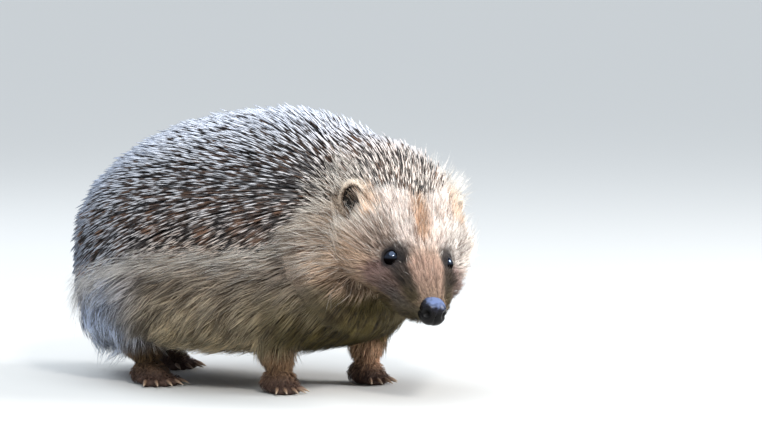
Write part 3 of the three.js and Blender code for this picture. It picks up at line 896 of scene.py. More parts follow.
# %% The coat's depth and its lie
def coat_depth(points, facing):
    """How deep the coat is over the skin, the same amounts that the skin was drawn in by."""
    up = facing[:, 2]
    top, side, bottom = TRUNK_COAT["top"], TRUNK_COAT["side"], TRUNK_COAT["bottom"]
    trunk = side + (top - side) * np.maximum(up, 0) - (side - bottom) * np.maximum(-up, 0)
    ahead = head_place(points)[0]
    share = head_zone(points, -70, -40)
    deep = trunk * (1 - share) + head_coat(np.clip(ahead, -60, 27)) * share
    return deep + (LEG_COAT - deep) * on_leg(points)


def lie(points, facing):
    """The way the coat lies: away from the nose on the head, back and down on the trunk, down the legs."""
    from_nose = unit(points - nose_tip)
    x, y, z = points.T
    # On the trunk: straight back, and down more steeply on the rump and low on the flank.
    rump = 1 - step_up(-104, -14, x)
    down_spines = -0.04 + 0.85 * (1 - step_up(62, 112, z)) + 0.35 * rump
    down_fur = 0.14 + 0.80 * (1 - step_up(20, 52, z)) + 0.35 * rump
    down = down_fur + (down_spines - down_fur) * step_up(-6, 4, spininess(points))
    back = np.stack([0 * x - 1, 0.10 * np.sign(y), -down], -1)
    # The trunk's lie takes over behind the head, and sooner where the skin faces the nose, as the chest does.
    share = behind_head(points)[:, None]
    facing_nose = step_up(-0.05, 0.45, -np.einsum("ij,ij->i", facing, from_nose))[:, None]
    off_muzzle = step_up(30, 50, np.linalg.norm(points - nose_tip, axis=-1))[:, None]
    share = share + (1 - share) * facing_nose * off_muzzle
    way = unit(back) * share + from_nose * (1 - share)
    # On the throat it hangs, and it turns down over each leg.
    throat = (1 - step_up(40, 66, z)) * (1 - step_up(-4, 12, head_place(points)[0]))
    way[:, 2] -= 0.75 * throat * (1 - 0.5 * share[:, 0])
    leg = np.maximum(on_leg(points), 0.9 * over_leg(points))[:, None]
    way = unit(way) * (1 - leg) + leg * np.array([-0.18, 0, -1])
    # What is left of it in the skin's own plane.
    return unit(way - facing * np.einsum("ij,ij->i", way, facing)[:, None])


print("mean lie of the coat:", lie(skin_points, skin_normals).mean(0).round(2))

# %% [markdown]
# ## Markings
#
# The animal's pattern is painted on the skin and on the coat by one function of place, so that a gap
# between hairs never shows a wrong colour. Some light and shade is painted in with it. It mixes two dozen
# named colours with soft edged areas: a cream brow, a dark patch from each eye down to the muzzle, tan
# cheeks, a grey brown flank that turns paler and bluer towards the rump, with a pale upper edge, an olive
# throat, and redder front legs. The rump's blue is a painted sheen of sky light, the throat is darkened by
# painted shade under the head, the front legs are made paler by painted light, the left cheek and jowl are
# whitened by painted backlight and the right brow is darkened by painted shade.

# %% Soft edged areas
def blend(first, second, share):
    """Two colours mixed at each place: the first where share is 0 and the second where it is 1."""
    return first + (second - first) * np.reshape(share, (-1, 1))


def blob(a, s, l, ahead, aside, lift, wide):
    """1 at a place on either side of the head, fading to 0 at about one width from it."""
    away = np.sqrt((a - ahead) ** 2 + (np.abs(s) - aside) ** 2 + (l - lift) ** 2)
    return 1 - step_up(0.45 * wide, wide, away)


def streak(a, s, l, start, end, wide):
    """1 along a line between two places on either side of the head, fading at one width from it."""
    start, end = np.array(start, float), np.array(end, float)
    here = np.stack([a, np.abs(s), l], -1)
    along = np.clip((here - start) @ (end - start) / ((end - start) @ (end - start)), 0, 1)
    away = np.linalg.norm(here - start - np.outer(along, end - start), axis=-1)
    return 1 - step_up(0.45 * wide, wide, away)


def temple(points):
    """1 on a band from beside each eye back to the ear."""
    a, s, l = head_place(points)
    beside_eye = blob(a, s, l, EYE["ahead"], EYE["apart"] / 2, EYE["lift"], 11)
    return streak(a, s, l, (-9, 22, -3), (11, 15, -5), 9) * (1 - beside_eye)


print("skin points on the temples:", int((temple(skin_points) > 0.5).sum()))

# %% Colours of the head
CREAM = paint(254, 238, 228)
MID_STREAK = paint(206, 160, 122)
CHEEK = paint(212, 182, 156)
CHEEK_PALE = paint(222, 212, 198)
# On the left side only: painted backlight on the far cheek.
CHEEK_BACKLIT = paint(250, 244, 238)
CLUMP = paint(226, 176, 126)
BRIDGE = paint(202, 170, 152)
MASK = paint(29, 23, 22)
BROW_SHADE = paint(140, 116, 98)
UNDER_EYE = paint(134, 106, 102)
# On the left side only: painted backlight on the far jowl.
JOWL_BACKLIT = paint(196, 168, 162)
MUZZLE_SIDE = paint(118, 110, 116)
MUZZLE_DARK = paint(84, 66, 64)
# The throat's dark olive is partly its own colour and partly painted shade under the head.
THROAT_AND_SHADE = paint(79, 68, 28)
print("brow and mask:", CREAM.round(2), MASK.round(2))

# %% Colours of the trunk, the legs and the tail
FLANK_FRONT = paint(144, 131, 118)
FLANK_MID = paint(146, 131, 115)
# Paler towards the rump, the fur's own colour, with a blue painted in as a sheen of sky light.
FLANK_REAR_PALE_AND_SKY = paint(200, 212, 236)
FLANK_EDGE = paint(212, 197, 180)
BELLY = paint(196, 178, 144)
LEG_FUR = paint(116, 92, 62)
# Paler front legs, most of all the far one: painted light where they stand in the open, out of the belly's
# shadow.
LEG_FRONT_LIT = paint(226, 178, 142)
PAW_SKIN = paint(92, 70, 60)
TAIL_FUR = paint(128, 118, 108)
print("flank and leg:", FLANK_MID.round(2), LEG_FUR.round(2))

# %% Marks of the head
def head_marks(points):
    """A cream brow over tan cheeks, then each mark laid over the ones before it. On the left the cheek is
    white and the jowl pale, painted backlight on the far side, and the marks that step up with s are on that
    side alone. The brow patch is weaker on the left, so the right brow is darker, painted shade."""
    a, s, l = head_place(points)
    high = (l - head_lift(np.clip(a, -34, 26))) / head_high(np.clip(a, -34, 26))
    backlit_side = np.maximum(temple(points), blob(a, s, l, -4, 17, 2, 12))
    marks = [
        (CHEEK_PALE, 0.55 * blob(a, s, l, -18, 28, 2, 15)),
        # painted backlight: the left cheek whitened
        (CHEEK_BACKLIT, 0.9 * backlit_side * step_up(7, 13, s)),
        (BRIDGE, step_up(2, 12, a) * step_up(0.1, 0.5, high)),
        (MID_STREAK, 0.85 * streak(a, s, l, (-25, 0, 21), (-1, 0, 10), 5.5)),
        (CLUMP, 0.6 * streak(a, s, l, (-28, 19, 13), (-15, 18, 8), 5)),
        # the throat, darkened by painted shade under the head
        (THROAT_AND_SHADE, (1 - step_up(-6, 2, l + 14 - 0.35 * (a - 5))) * (1 - step_up(10, 16, a))),
        (UNDER_EYE, 0.9 * streak(a, s, l, (3, 15, -6), (15, 12, -8), 7)),
        # painted backlight: the left jowl made paler
        (JOWL_BACKLIT, 0.75 * streak(a, s, l, (4, 18, -6), (22, 11, -9), 7) * step_up(4, 10, s)),
        (MUZZLE_SIDE, step_up(8, 18, a) * (1 - step_up(-0.1, 0.4, high))),
        # the brow patch, weaker on the left: the right brow darker as painted shade
        (BROW_SHADE, 0.75 * blob(a, s, l, -4.5, 17.0, 4.5, 9) * (1 - 0.8 * step_up(4, 12, s))),
        (MUZZLE_DARK, 0.15 * streak(a, s, l, (6, 12.5, -2), (20, 9.0, -6), 5)),
        (MASK, 0.95 * blob(a, s, l, 4.0, 12.0, 1.0, 9.4)),
        (MASK, 0.92 * streak(a, s, l, (5, 11.2, 0.8), (24, 7.9, -5.1), 4.0)),
    ]
    face = blend(CHEEK, CREAM, step_up(0.1, 0.55, high) * (1 - step_up(-2, 12, a)))
    for colour, share in marks:
        face = blend(face, colour, share)
    return face


print("mean colour of the head's marks:", head_marks(skin_points).mean(0).round(2))

# %% Markings of the whole coat
def trunk_marks(points):
    """Grey brown flanks, paler towards the rump, along the spines' edge and under the belly.
    The rump's blue is a painted sheen of sky light.
    """
    x, _, z = points.T
    colour = blend(FLANK_MID, FLANK_FRONT, step_up(-20, 30, x))
    colour = blend(colour, FLANK_REAR_PALE_AND_SKY, 1 - step_up(-62, -14, x))
    colour = blend(colour, FLANK_EDGE, 0.55 * np.exp(-((spininess(points) + 5) / 5) ** 2))
    return blend(colour, BELLY, (1 - step_up(26, 62, z)) * step_up(-60, -22, x))


def markings(points):
    """The coat's colour at each place, as linear light."""
    x, _, z = points.T
    ahead, aside, _ = head_place(points)
    beside = step_up(13, 33, np.abs(aside)) * (1 - step_up(-40, -10, ahead))
    colour = blend(trunk_marks(points), head_marks(points), head_zone(points, -48, -20) * (1 - beside))
    # the low chest, in the throat's colour: painted shade under the head
    colour = blend(colour, THROAT_AND_SHADE, 0.97 * (1 - step_up(36, 60, z)) * step_up(14, 42, x))
    # the front legs turn paler towards the front: painted light
    leg = blend(LEG_FUR, LEG_FRONT_LIT, 0.25 * step_up(-20, 10, x) + 0.75 * step_up(28, 38, x))
    leg = blend(leg, PAW_SKIN, 1 - step_up(4, 14, z))
    colour = blend(colour, leg, on_leg(points) * (1 - step_up(17, 33, z)))
    return blend(colour, TAIL_FUR, on_tail(points))


skin_tone = markings(skin_points)
print("colours from", skin_tone.min().round(3), "to", skin_tone.max().round(3))

# %% [markdown]
# ## Growing the coat
#
# Particle hair would be quick, but it can't be handed on as a mesh. Each hair and spine is instead a thin
# closed tube with few sides. Roots are scattered over the skin. From its root a hair takes short steps
# along the lie of the coat, and after each step it is lifted to its height over the skin. Neighbours then
# lean to a common tip, which makes the locks.

# %% Scattering roots
generator = np.random.default_rng(20)
GRAIN = generator.random(20011)  # one random value for each small cell of space


def scattered(number, weight):
    """Random places on the skin and the way it faces there: a face is chosen by its area times its weight,
    and a place in it by two shares of its sides."""
    corners = skin_points[skin_quads]
    diagonals = corners[:, 2] - corners[:, 0], corners[:, 3] - corners[:, 1]
    area = 0.5 * np.linalg.norm(np.cross(*diagonals), axis=-1)
    share = area * np.maximum(weight(corners.mean(1), skin_normals[skin_quads[:, 0]]), 0)
    chosen = generator.choice(len(share), number, p=share / share.sum())
    u, v = generator.random((2, number, 1))
    shares = [(1 - u) * (1 - v), u * (1 - v), u * v, (1 - u) * v]
    places = sum(b * corners[chosen, k] for k, b in enumerate(shares))
    facing = unit(sum(b * skin_normals[skin_quads[chosen, k]] for k, b in enumerate(shares)))
    return places, facing


def spaced(places, cell):
    """The numbers of places kept when only one may stand in each cell: even, but not in rows."""
    cells = np.floor(places / cell).astype(int)
    middles = (cells + 0.5) * cell
    order = np.argsort(np.linalg.norm(places - middles, axis=-1))
    _, first = np.unique(cells[order], axis=0, return_index=True)
    return order[first]


print("roots kept of every tenth skin point, 4 mm apart:", len(spaced(skin_points[::10], 4.0)))

# %% Growing paths
FLOOR_CLEAR = 0.4  # no hair goes lower than this


def turned(way, facing, angle):
    """Directions in the skin's plane, turned by an angle each."""
    return way * np.cos(angle)[:, None] + np.cross(facing, way) * np.sin(angle)[:, None]


def grown(roots, length, stand, rise, stray, steps, settle=1.0):
    """Paths of hairs: each step goes a share of the length along the lie of the coat, turned by the hair's
    own stray angle, and is lifted to stand·(1 - (1 - t)^rise) over the skin. Where the skin falls away
    under it, a hair sinks back by the settle share only, so long hair bridges a fold."""
    rows = [roots]
    place = roots
    for k in range(1, steps + 1):
        height, facing = over_skin(place)
        place = place + turned(lie(place, facing), facing, stray) * (length / steps)[:, None]
        height, facing = over_skin(place)
        lift = stand * (1 - (1 - k / steps) ** rise) - height
        place = place + facing * np.where(lift > 0, lift, lift * settle)[:, None]
        place[:, 2] = np.maximum(place[:, 2], FLOOR_CLEAR)
        rows.append(place)
    return np.stack(rows, 1)


one_path = grown(skin_points[:1], np.ones(1) * 10, np.ones(1), 1.0, np.zeros(1), 3)
print("a hair of 10 mm reaches", np.linalg.norm(one_path[0, -1] - one_path[0, 0]).round(1), "mm")

# %% Streaks and locks
GRAIN_STRIDES = np.array([7393, 1933, 8349])  # spread the cells over the grain


def streaks(points, width, steps=9, stride=1.3):
    """From 0 to 1 for each place, quick to change across the lie of the coat and slow along it: the grain
    of small cells, summed along the lie, then ranked so that all shades are equally common."""
    total, place = 0, points
    for _ in range(steps):
        cells = np.floor(place / width).astype(int) @ GRAIN_STRIDES
        total = total + GRAIN[cells % len(GRAIN)]
        height, facing = over_skin(place)
        place = place + lie(place, facing) * stride - facing * height[:, None]
    return total.argsort().argsort() / len(points)


def gathered(paths, cell, pull):
    """Hairs drawn to the nearest guide hair by pull·t^1.3 along them, and each hair's guide number."""
    guides = spaced(paths[:, 0], cell)
    roots, leaders = paths[:, 0], paths[guides, 0]
    far = (roots ** 2).sum(1)[:, None] + (leaders ** 2).sum(1) - 2 * roots @ leaders.T
    nearest = guides[far.argmin(1)]
    t = np.linspace(0, 1, paths.shape[1])[:, None]
    return paths + (paths[nearest] - paths) * np.reshape(pull, (-1, 1, 1)) * t ** 1.3, nearest


print("values in the grain:", len(GRAIN))

# %% A place for each root on the map
PATCH = 0.003  # how wide one tuft's patch is on the map
MAP_HEAD, MAP_TRUNK = (-60, 92), (-110, 220)  # where each map starts along its axis, and how long it is
MAP_LEG = 45  # how far up a leg's strip reaches


def unwrapped(points, kind):
    """A root's place on a map of the skin's own shape, from 0.02 to 0.98: along the trunk or the head and
    round it, or for legs one strip each, along and round the leg."""
    x, y, z = points.T
    a, s, l = head_place(points)
    if kind == "head":
        across, round_it = (a - MAP_HEAD[0]) / MAP_HEAD[1], np.arctan2(s, l + 6)
    elif kind == "legs":
        feet = np.array([leg[0] for leg in LEGS.values()])
        which = np.linalg.norm(points[:, None, :2] - feet, axis=-1).argmin(1)
        middle = feet[which]
        across = (which + np.clip(z / MAP_LEG, 0, 1)) / len(feet)
        round_it = np.arctan2(y - middle[:, 1], x - middle[:, 0])
    else:
        across, round_it = (x - MAP_TRUNK[0]) / MAP_TRUNK[1], np.arctan2(y, z - TRUNK["height"])
    flat = np.stack([across, round_it / (2 * np.pi) + 0.5], -1)
    return 0.02 + 0.96 * np.clip(flat, 0, 1)


print("the nose on the head's map:", unwrapped(nose_tip[None], "head")[0].round(2))

# %% Tubes along paths
def tubes(paths, radii, profile, sides, places=None):
    """Thin closed tubes: rings of radius times profile round each point of the path but the last, which
    is the tip, with a fan over the root. Gives points as [tube, point], faces, and each point's place
    along its tube, from 0 to 1, which is even unless places are given."""
    count, knots = paths.shape[:2]
    places = np.linspace(0, 1, knots) if places is None else places
    along = unit(np.gradient(paths, axis=1))
    across = unit(np.cross(along, [0.31, 0.17, 0.93]))
    other = np.cross(along, across)
    turn = np.arange(sides) * 2 * np.pi / sides
    wide = radii[:, None, None] * np.array(profile)[None, :, None]
    c, s = wide * np.cos(turn), wide * np.sin(turn)
    body = paths[:, :-1, None] + across[:, :-1, None] * c[..., None] + other[:, :-1, None] * s[..., None]
    points = np.concatenate([body.reshape(count, -1, 3), paths[:, -1:]], 1)
    k = np.arange(sides)
    ahead = (k + 1) % sides
    row = (np.arange(knots - 2) * sides)[:, None]
    quads = np.stack([row + k, row + ahead, row + ahead + sides, row + k + sides], -1).reshape(-1, 4)
    end = (knots - 2) * sides
    tip = np.stack([end + k, end + ahead, np.full(sides, (knots - 1) * sides)], -1)
    root = np.arange(sides)[None, ::-1]
    first = (np.arange(count) * points.shape[1])[:, None, None]
    faces = [(first + pattern).reshape(-1, pattern.shape[1]) for pattern in (quads, tip, root)]
    return points, faces, np.append(np.repeat(places[:-1], sides), 1)


one_tube, _, _ = tubes(one_path, np.ones(1), (1, 1, 1), 4)
print("points in a tube of 3 rings and a tip:", one_tube.shape[1])

# %% A piece of coat
def coat_piece(name, paths, radii, profile, tones, shades, kind, material, sides=3, places=None):
    """A piece of coat: its tubes, the map of their roots, and its colour, shade and place along each."""
    points, faces, t = tubes(paths, radii, profile, sides, places)
    count, each = points.shape[:2]
    corner = np.append(np.tile(np.arange(sides) / (sides - 1), len(t) // sides), 0.5)
    patch = PATCH * np.stack([corner - 0.5, t - 0.5], -1)
    uv = unwrapped(paths[:, 0], kind)[:, None] + patch
    amounts = [("tone", np.repeat(tones, each, 0)), ("shade", np.repeat(shades, each)),
               ("along", np.tile(t, count))]
    piece = mesh_piece(name, points, faces, material, uv, amounts)
    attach(piece, "root")
    triangles = sum(len(f) * (f.shape[1] - 2) for f in faces)
    print(f"{name}: {count} strands, {triangles} triangles")
    return piece


# %% [markdown]
# ## Spines
#
# A spine is a stiff, nearly straight rod with a pale root, a dark band and a cream tip. It leaves the skin
# at a slant, so that the bands of thousands of spines make the salt and pepper of the back. Roots are
# spaced one to a cell, because spines grow at even distances. Four sides are enough for a rod under a
# millimetre thick.

# %% Spine material
def spine_material():
    """A pale rod with a dark band under its tip. The band slides a little with the spine's shade, and is
    near black or rusty brown by patches of the coat."""
    finish = Finish("spine_horn", Roughness=0.42, IOR=1.5)
    along, shade, tone = finish.attribute("along"), finish.attribute("shade"), finish.attribute("tone", True)
    place = (along + (shade - 0.5) * 0.18).held()
    white, black = (1, 1, 1), (0, 0, 0)
    pale = finish.ramp(place, [(0.0, (0.10, 0.10, 0.10)), (0.42, (0.42, 0.42, 0.42)),
                               (0.54, (0.36, 0.36, 0.36)), (0.60, black), (0.80, black),
                               (0.85, (0.72, 0.72, 0.72)), (0.92, white)])
    rusty = ((finish.noise(110, 2) - 0.42) * 6).held() * finish.attribute("warmth")
    band = finish.mix(rusty.held(), (*paint(34, 27, 26), 1), (*paint(128, 94, 72), 1))
    colour = finish.mix(pale, band, tone)
    return finish.feed(Base_Color=finish.times(colour, 0.82 + 0.36 * finish.noise(900)))


spine_horn = spine_material()
print("made", spine_horn.name)

# %% Where the spines stand
SPINES = {"tries": 140000, "cell": 1.92, "length": 21.5, "crown_length": 14.5, "radius": 0.365}
SPINE_PLACES = np.array([-0.06, 0.6, 0.9, 1.0])  # where along a spine its rings are, the first in the skin
SPINE_PROFILE = (0.85, 1.0, 0.7)

candidates, _ = scattered(SPINES["tries"], lambda p, n: spininess(p) > 0)
spine_roots = candidates[spaced(candidates, SPINES["cell"])]
_, spine_facing = over_skin(spine_roots)
number = len(spine_roots)
crown = 1 - behind_head(spine_roots)  # 1 over the head, where spines are short
print("spines:", number)

# %% How the spines grow
edge_share = step_up(0, 9, spininess(spine_roots))
spine_length = SPINES["length"] + (SPINES["crown_length"] - SPINES["length"]) * crown
spine_length *= generator.normal(1, 0.07, number) * (0.72 + 0.28 * edge_share)
spine_stand = coat_depth(spine_roots, spine_facing) * (1 + 0.15 * crown)
spine_stand *= generator.normal(0.95, 0.10, number)
spine_stray = generator.normal(0, 0.075, number)
guide_paths = grown(spine_roots, spine_length, spine_stand, 1.0, spine_stray, 3)
straight = guide_paths[:, -1] - guide_paths[:, 0]
spine_paths = guide_paths[:, :1] + straight[:, None] * SPINE_PLACES[None, :, None]
print("mean length of a spine:", spine_length.mean().round(1), "mm")

# %% The spines' shades and colours
# The rump's spines are multiplied by a darker, bluer colour: painted cool sky light on the rump.
SPINE_RUMP_SKY_TINT = paint(172, 184, 202)  # what the rump's spines are multiplied by
# The cool colour is a painted sheen of sky light on the spines of the top of the back.
SPINE_SKY_SHEEN, SPINE_CREAM = paint(236, 242, 255), paint(234, 220, 210)
SPINE_GREY, SPINE_WARM = paint(200, 202, 208), paint(206, 188, 174)

# Where the skin faces up, the spines turn to the cool colour and their band slides towards the root, leaving
# a longer pale tip: painted sky light on the top. Low on the sides, away from the crown, the band slides the
# other way: painted shade.
sky_lit_top = step_up(0.45, 0.95, spine_facing[:, 2])
spine_shade = generator.random(number) + 0.45 * sky_lit_top - 0.1 * (1 - sky_lit_top) * (1 - crown)
spine_x, _, spine_z = spine_roots.T
low_front = (1 - step_up(70, 95, spine_z)) * step_up(-50, 5, spine_x)
spine_tone = blend(SPINE_GREY[None], SPINE_WARM, low_front)
spine_tone = blend(blend(spine_tone, SPINE_SKY_SHEEN, sky_lit_top), SPINE_CREAM, crown)
spine_tone = blend(spine_tone, spine_tone * SPINE_RUMP_SKY_TINT, 1 - step_up(-85, -5, spine_x))
spine_tone = spine_tone * generator.uniform(0.62, 1.05, number)[:, None]
print("mean colour of a spine's tip:", spine_tone.mean(0).round(2))

# %% Three pieces of spines
sectors = {
    "spines_rump": spine_roots[:, 0] < -48,
    "spines_back": (spine_roots[:, 0] >= -48) & (spine_roots[:, 0] < 14),
    "spines_neck": spine_roots[:, 0] >= 14,
}
for name, chosen in sectors.items():
    radii = np.full(chosen.sum(), SPINES["radius"])
    piece = coat_piece(name, spine_paths[chosen], radii, SPINE_PROFILE, spine_tone[chosen],
                       spine_shade[chosen], "trunk", spine_horn, 4, SPINE_PLACES)
    each = len(piece.data.vertices) // chosen.sum()
    low = 1 - step_up(60, 100, spine_roots[chosen, 2])
    rust = np.clip(0.4 + low + crown[chosen] * 0.4, 0, 1) * generator.random(chosen.sum())
    warmth = np.repeat(rust, each).astype(np.float32)
    piece.data.attributes.new("warmth", "FLOAT", "POINT").data.foreach_set("value", warmth)

# %% [markdown]
# ## Fur
#
# Below the spines the coat is soft: long locks on the flanks, shorter and finer hair towards the nose and
# the feet. One call for each region gives its number of hairs, their length and thickness, and how tightly
# they gather. The depth of the coat and its lie come from the functions above. Last come thin pale hair
# over the lowest spines and lone guard hairs that stand out of the rest.

# %% Fur material
def fur_material():
    """Dark at the root, partly the hair's own darker base and partly painted shade deep in the coat, the
    marking's own colour along the hair and paler at the tip.
    """
    finish = Finish("fur_hair", Roughness=0.55, IOR=1.45)
    tone, along, shade = finish.attribute("tone", True), finish.attribute("along"), finish.attribute("shade")
    mottle = finish.noise(260, 2)
    # The root is darkened: partly the hair's own darker base, partly painted shade between the hairs.
    root_dark_and_shade = finish.mix((1 - 1.6 * along).held(), tone, (*paint(124, 106, 94), 1), "MULTIPLY")
    tipped = finish.mix((along * 2.0 - 1.0).held() * 0.7, root_dark_and_shade, tone, "SCREEN")
    colour = finish.times(tipped, (0.34 + 1.15 * shade) * (0.85 + 0.3 * mottle))
    return finish.feed(Base_Color=colour)


fur_hair = fur_material()
print("made", fur_hair.name)

# %% Head, neck and sides
def furry(points, reach=0):
    """1 where the coat is fur, from reach millimetres below the spines' edge."""
    return 1 - step_up(-1, 4, spininess(points) + reach)


def head_share(points):
    """1 on the head proper."""
    return head_zone(points, -38, -28)


def neck_share(points):
    """1 on the neck, between the head and the trunk."""
    return head_zone(points, -66, -56) * (1 - head_share(points))


def of_side(points, side):
    """1 on one side of the animal: by the head's own middle on the head, by the trunk's behind it."""
    aside = head_place(points)[1]
    share = behind_head(points)
    return (side * (points[:, 1] * share + aside * (1 - share)) > 0) * 1.0


print("share of the skin on the right side:", of_side(skin_points, RIGHT).mean().round(2))

# %% Patches of the head


def cheekness(points):
    """1 on the cheeks and temples, where the hair is longest and stands out."""
    a, s, _ = head_place(points)
    return step_up(11, 23, np.abs(s)) * step_up(3, -10, a) * head_zone(points, -62, -44)


def near_ear(points):
    """1 in front of an ear's cup, where the hair is short so that the cup shows."""
    a, s, l = head_place(points)
    return blob(a, s, l, EAR["at"] + 8, EAR["apart"] / 2 - 1, EAR["lift"] - 5, 13)


def near_eye(points):
    """1 round an eye, where the hair is short so that it doesn't hang over the lids."""
    a, s, l = head_place(points)
    return blob(a, s, l, EYE["ahead"] + 3, EYE["apart"] / 2 + 2, EYE["lift"] + 1, 12)


def whisker_pad(points):
    """1 on the sides of the muzzle behind the nose, where the hair stands off a little."""
    return streak(*head_place(points), (8, 14, -6), (22, 9, -8), 7)


def under_chin(points):
    """1 along the underside of the jaw."""
    return streak(*head_place(points), (-4, 7, -23), (18, 4, -17), 8)


print("share of the skin on the cheeks:", cheekness(skin_points).mean().round(3))

# %% Long hair and short hair
hair_length = smooth_line([(-60, 13), (-34, 12), (-20, 11), (-8, 9.5), (0, 7.5), (9, 6.0), (18, 4.6),
                           (27, 2.6)])
hair_radius = smooth_line([(-60, 0.16), (-34, 0.14), (-8, 0.12), (4, 0.09), (14, 0.065), (27, 0.05)])


def face_length(points):
    """Hair on the head: shorter towards the nose, longer on the cheeks."""
    ahead, _, lift = head_place(points)
    cheek = cheekness(points)
    long = hair_length(ahead) * (1 + 0.35 * cheek + 0.6 * cheek * step_up(2, -10, lift))
    edge = 0.6 + 0.4 * step_up(2, -8, spininess(points))
    return long * edge * (1 - 0.5 * near_ear(points)) * (1 - 0.6 * near_eye(points)) + 4.0 * temple(points)


def face_radius(points):
    """Half the thickness of the head's hair, which is finest at the nose."""
    return hair_radius(head_place(points)[0])


def trunk_length(points):
    """Hair on the flank, shorter under the belly."""
    return (21 - 5 * (1 - step_up(20, 36, points[:, 2]))) * (0.7 + 0.3 * step_up(2, -10, spininess(points)))


def rear_skirt(points):
    """1 on the lower rear of the flanks, where the hair is longest and hangs out."""
    x, _, z = points.T
    return (1 - step_up(-112, -48, x)) * (1 - step_up(30, 46, z)) * step_up(10, 20, z)


head_hair = face_length(skin_points[head_share(skin_points) > 0.5])
print("hair of the head from", head_hair.min().round(1), "to", head_hair.max().round(1), "mm")

# %% Hair kept off the eyes and out of the ears
EAR_CLEAR = {"ahead": 3.0, "aside": 1.8, "drop": 0.9, "radius": 6.5}  # a ball that hairs keep out of


def clear_of_face(paths):
    """Which hairs keep out of the open ears and off the eyes."""
    clear = np.ones(len(paths), bool)
    middles = (paths[:, 1:] + paths[:, :-1]) / 2
    places = np.concatenate([paths[:, 1:], middles], 1)
    for side in (RIGHT, LEFT):
        facing = ear_axes(side)[0]
        outside = head_left * side * EAR_CLEAR["aside"] - head_up * EAR_CLEAR["drop"]
        away = places - (ear_middle(side) + facing * EAR_CLEAR["ahead"] + outside)
        clear &= np.linalg.norm(away, axis=-1).min(1) > EAR_CLEAR["radius"]
        look, along, across = eye_axes(side)
        away = places - eye_centre(side)
        reach = np.hypot(away @ along, away @ across)
        clear &= np.where(away @ look > 0, reach, 99).min(1) > EYE["radius"] + 0.3
    return clear


print("share of the spines clear of the face:", clear_of_face(spine_paths).mean().round(3))

# %% How high hair stands
def coat_height(roots, facing, stand):
    """How high each hair's tip stands over the skin: a share of the coat's depth, more on the cheeks, in
    the rear skirt and just below the spines' edge, and then a loose fringe low on the belly and the legs
    and looser hair on the whisker pads, the temples and the chin."""
    number, z = len(roots), roots[:, 2]
    leg, off_tail = on_leg(roots), 1 - on_tail(roots)
    high = coat_depth(roots, facing) * generator.uniform(*stand, number)
    rear = rear_skirt(roots) * off_tail
    high *= (1 + 0.55 * cheekness(roots) + 1.2 * rear) * (1 - 0.6 * near_eye(roots))
    high *= 1 + 0.22 * np.exp(-((spininess(roots) + 13) / 9) ** 2) * (1 - head_share(roots))
    belly = 7 * (1 - step_up(17, 32, z)) * (1 - leg) * (1 - over_leg(roots))
    fringe = belly + 4 * leg * step_up(11, 26, z) + 11 * rear
    high += fringe * off_tail * generator.random(number)
    loose = 2.0 * whisker_pad(roots) + 5.0 * temple(roots) + 3.4 * under_chin(roots)
    return high + loose * generator.random(number)


print("share of the skin in the rear skirt:", rear_skirt(skin_points).mean().round(3))

# %% How hair is shaded
RUST = paint(214, 160, 116)  # a stain that multiplies the coat's colour


def hair_shade(roots, leader, width, contrast):
    """From 0, dark, to 1, pale: 0.62 of it from streaks along the lie, 0.18 from the lock and 0.2 from the
    hair itself, drawn apart from 0.5 by the contrast."""
    number = len(roots)
    lock_shade = generator.random(number)[leader]
    shade = 0.62 * streaks(roots, width) + 0.18 * lock_shade + 0.2 * generator.random(number)
    return np.clip(0.5 + contrast * (shade - 0.5), 0, 1)


def rustiness(points):
    """How rusty the darker locks are: much on the head, little on the flanks."""
    return 0.15 + 0.45 * head_zone(points, -50, -24)


print("rust on the skin's places from", rustiness(skin_points).min(), "to", rustiness(skin_points).max())

# %% One region of fur
FUR_PROFILE = (0.8, 1.0, 0.7)
SHORT_PROFILE = (0.9, 0.8)  # short hair has one ring less
ROOT_SUNK = 0.4  # how deep in the skin a hair begins


def fur_region(name, number, weight, length, radius, cell, pull, kind, rise=1.8, stand=(0.35, 1.05),
               stray=0.16, settle=1.0, profile=FUR_PROFILE, tint=None, streak_width=0.8, contrast=1.0):
    """Scatters, grows and gathers one region's hair and makes its piece."""
    roots, facing = scattered(number, weight)
    long = length(roots) * generator.uniform(0.7, 1.15, number)
    high = coat_height(roots, facing, stand)
    low = 1 - step_up(48, 70, roots[:, 2])
    sink = settle + (1 - settle) * low
    paths = grown(roots, long, high, rise, generator.normal(0, stray, number), len(profile), sink)
    paths, leader = gathered(paths, cell, pull * generator.uniform(0.6, 1.0, number))
    paths[:, 0] -= facing * ROOT_SUNK
    shade = hair_shade(roots, leader, streak_width, contrast)
    radii = radius(roots) * generator.uniform(0.75, 1.25, number)
    tones = markings(roots)
    tones = blend(tones, tones * RUST, np.clip(1 - 2.4 * shade, 0, 1) * rustiness(roots))
    if tint is not None:
        tones = blend(tones, tint, 0.7)
    kept = clear_of_face(paths)
    return coat_piece(name, paths[kept], radii[kept], profile, tones[kept], shade[kept], kind, fur_hair)


print("rings of a short hair:", len(SHORT_PROFILE), "and a tip")

# %% Where the fur of the trunk and the neck grows
def trunk_weight(side):
    """Where one flank's hair grows: behind the neck, off the legs, and thinner under the belly."""
    def weight(points, facing):
        body = (1 - head_share(points)) * (1 - neck_share(points)) * (1 - on_leg(points))
        under = 1 - 0.55 * step_up(0.6, 0.95, -facing[:, 2])
        away = 5 * step_up(5, 30, points[:, 0])
        return furry(points, away) * body * under * of_side(points, side) * (1 - on_tail(points))
    return weight


def neck_weight(side):
    """Where the hair of one side of the neck grows."""
    def weight(points, facing):
        body = neck_share(points) * of_side(points, side) * (1 - on_leg(points))
        return furry(points, 8) * body
    return weight


print("share of the skin under the neck's fur:", neck_share(skin_points).mean().round(3))

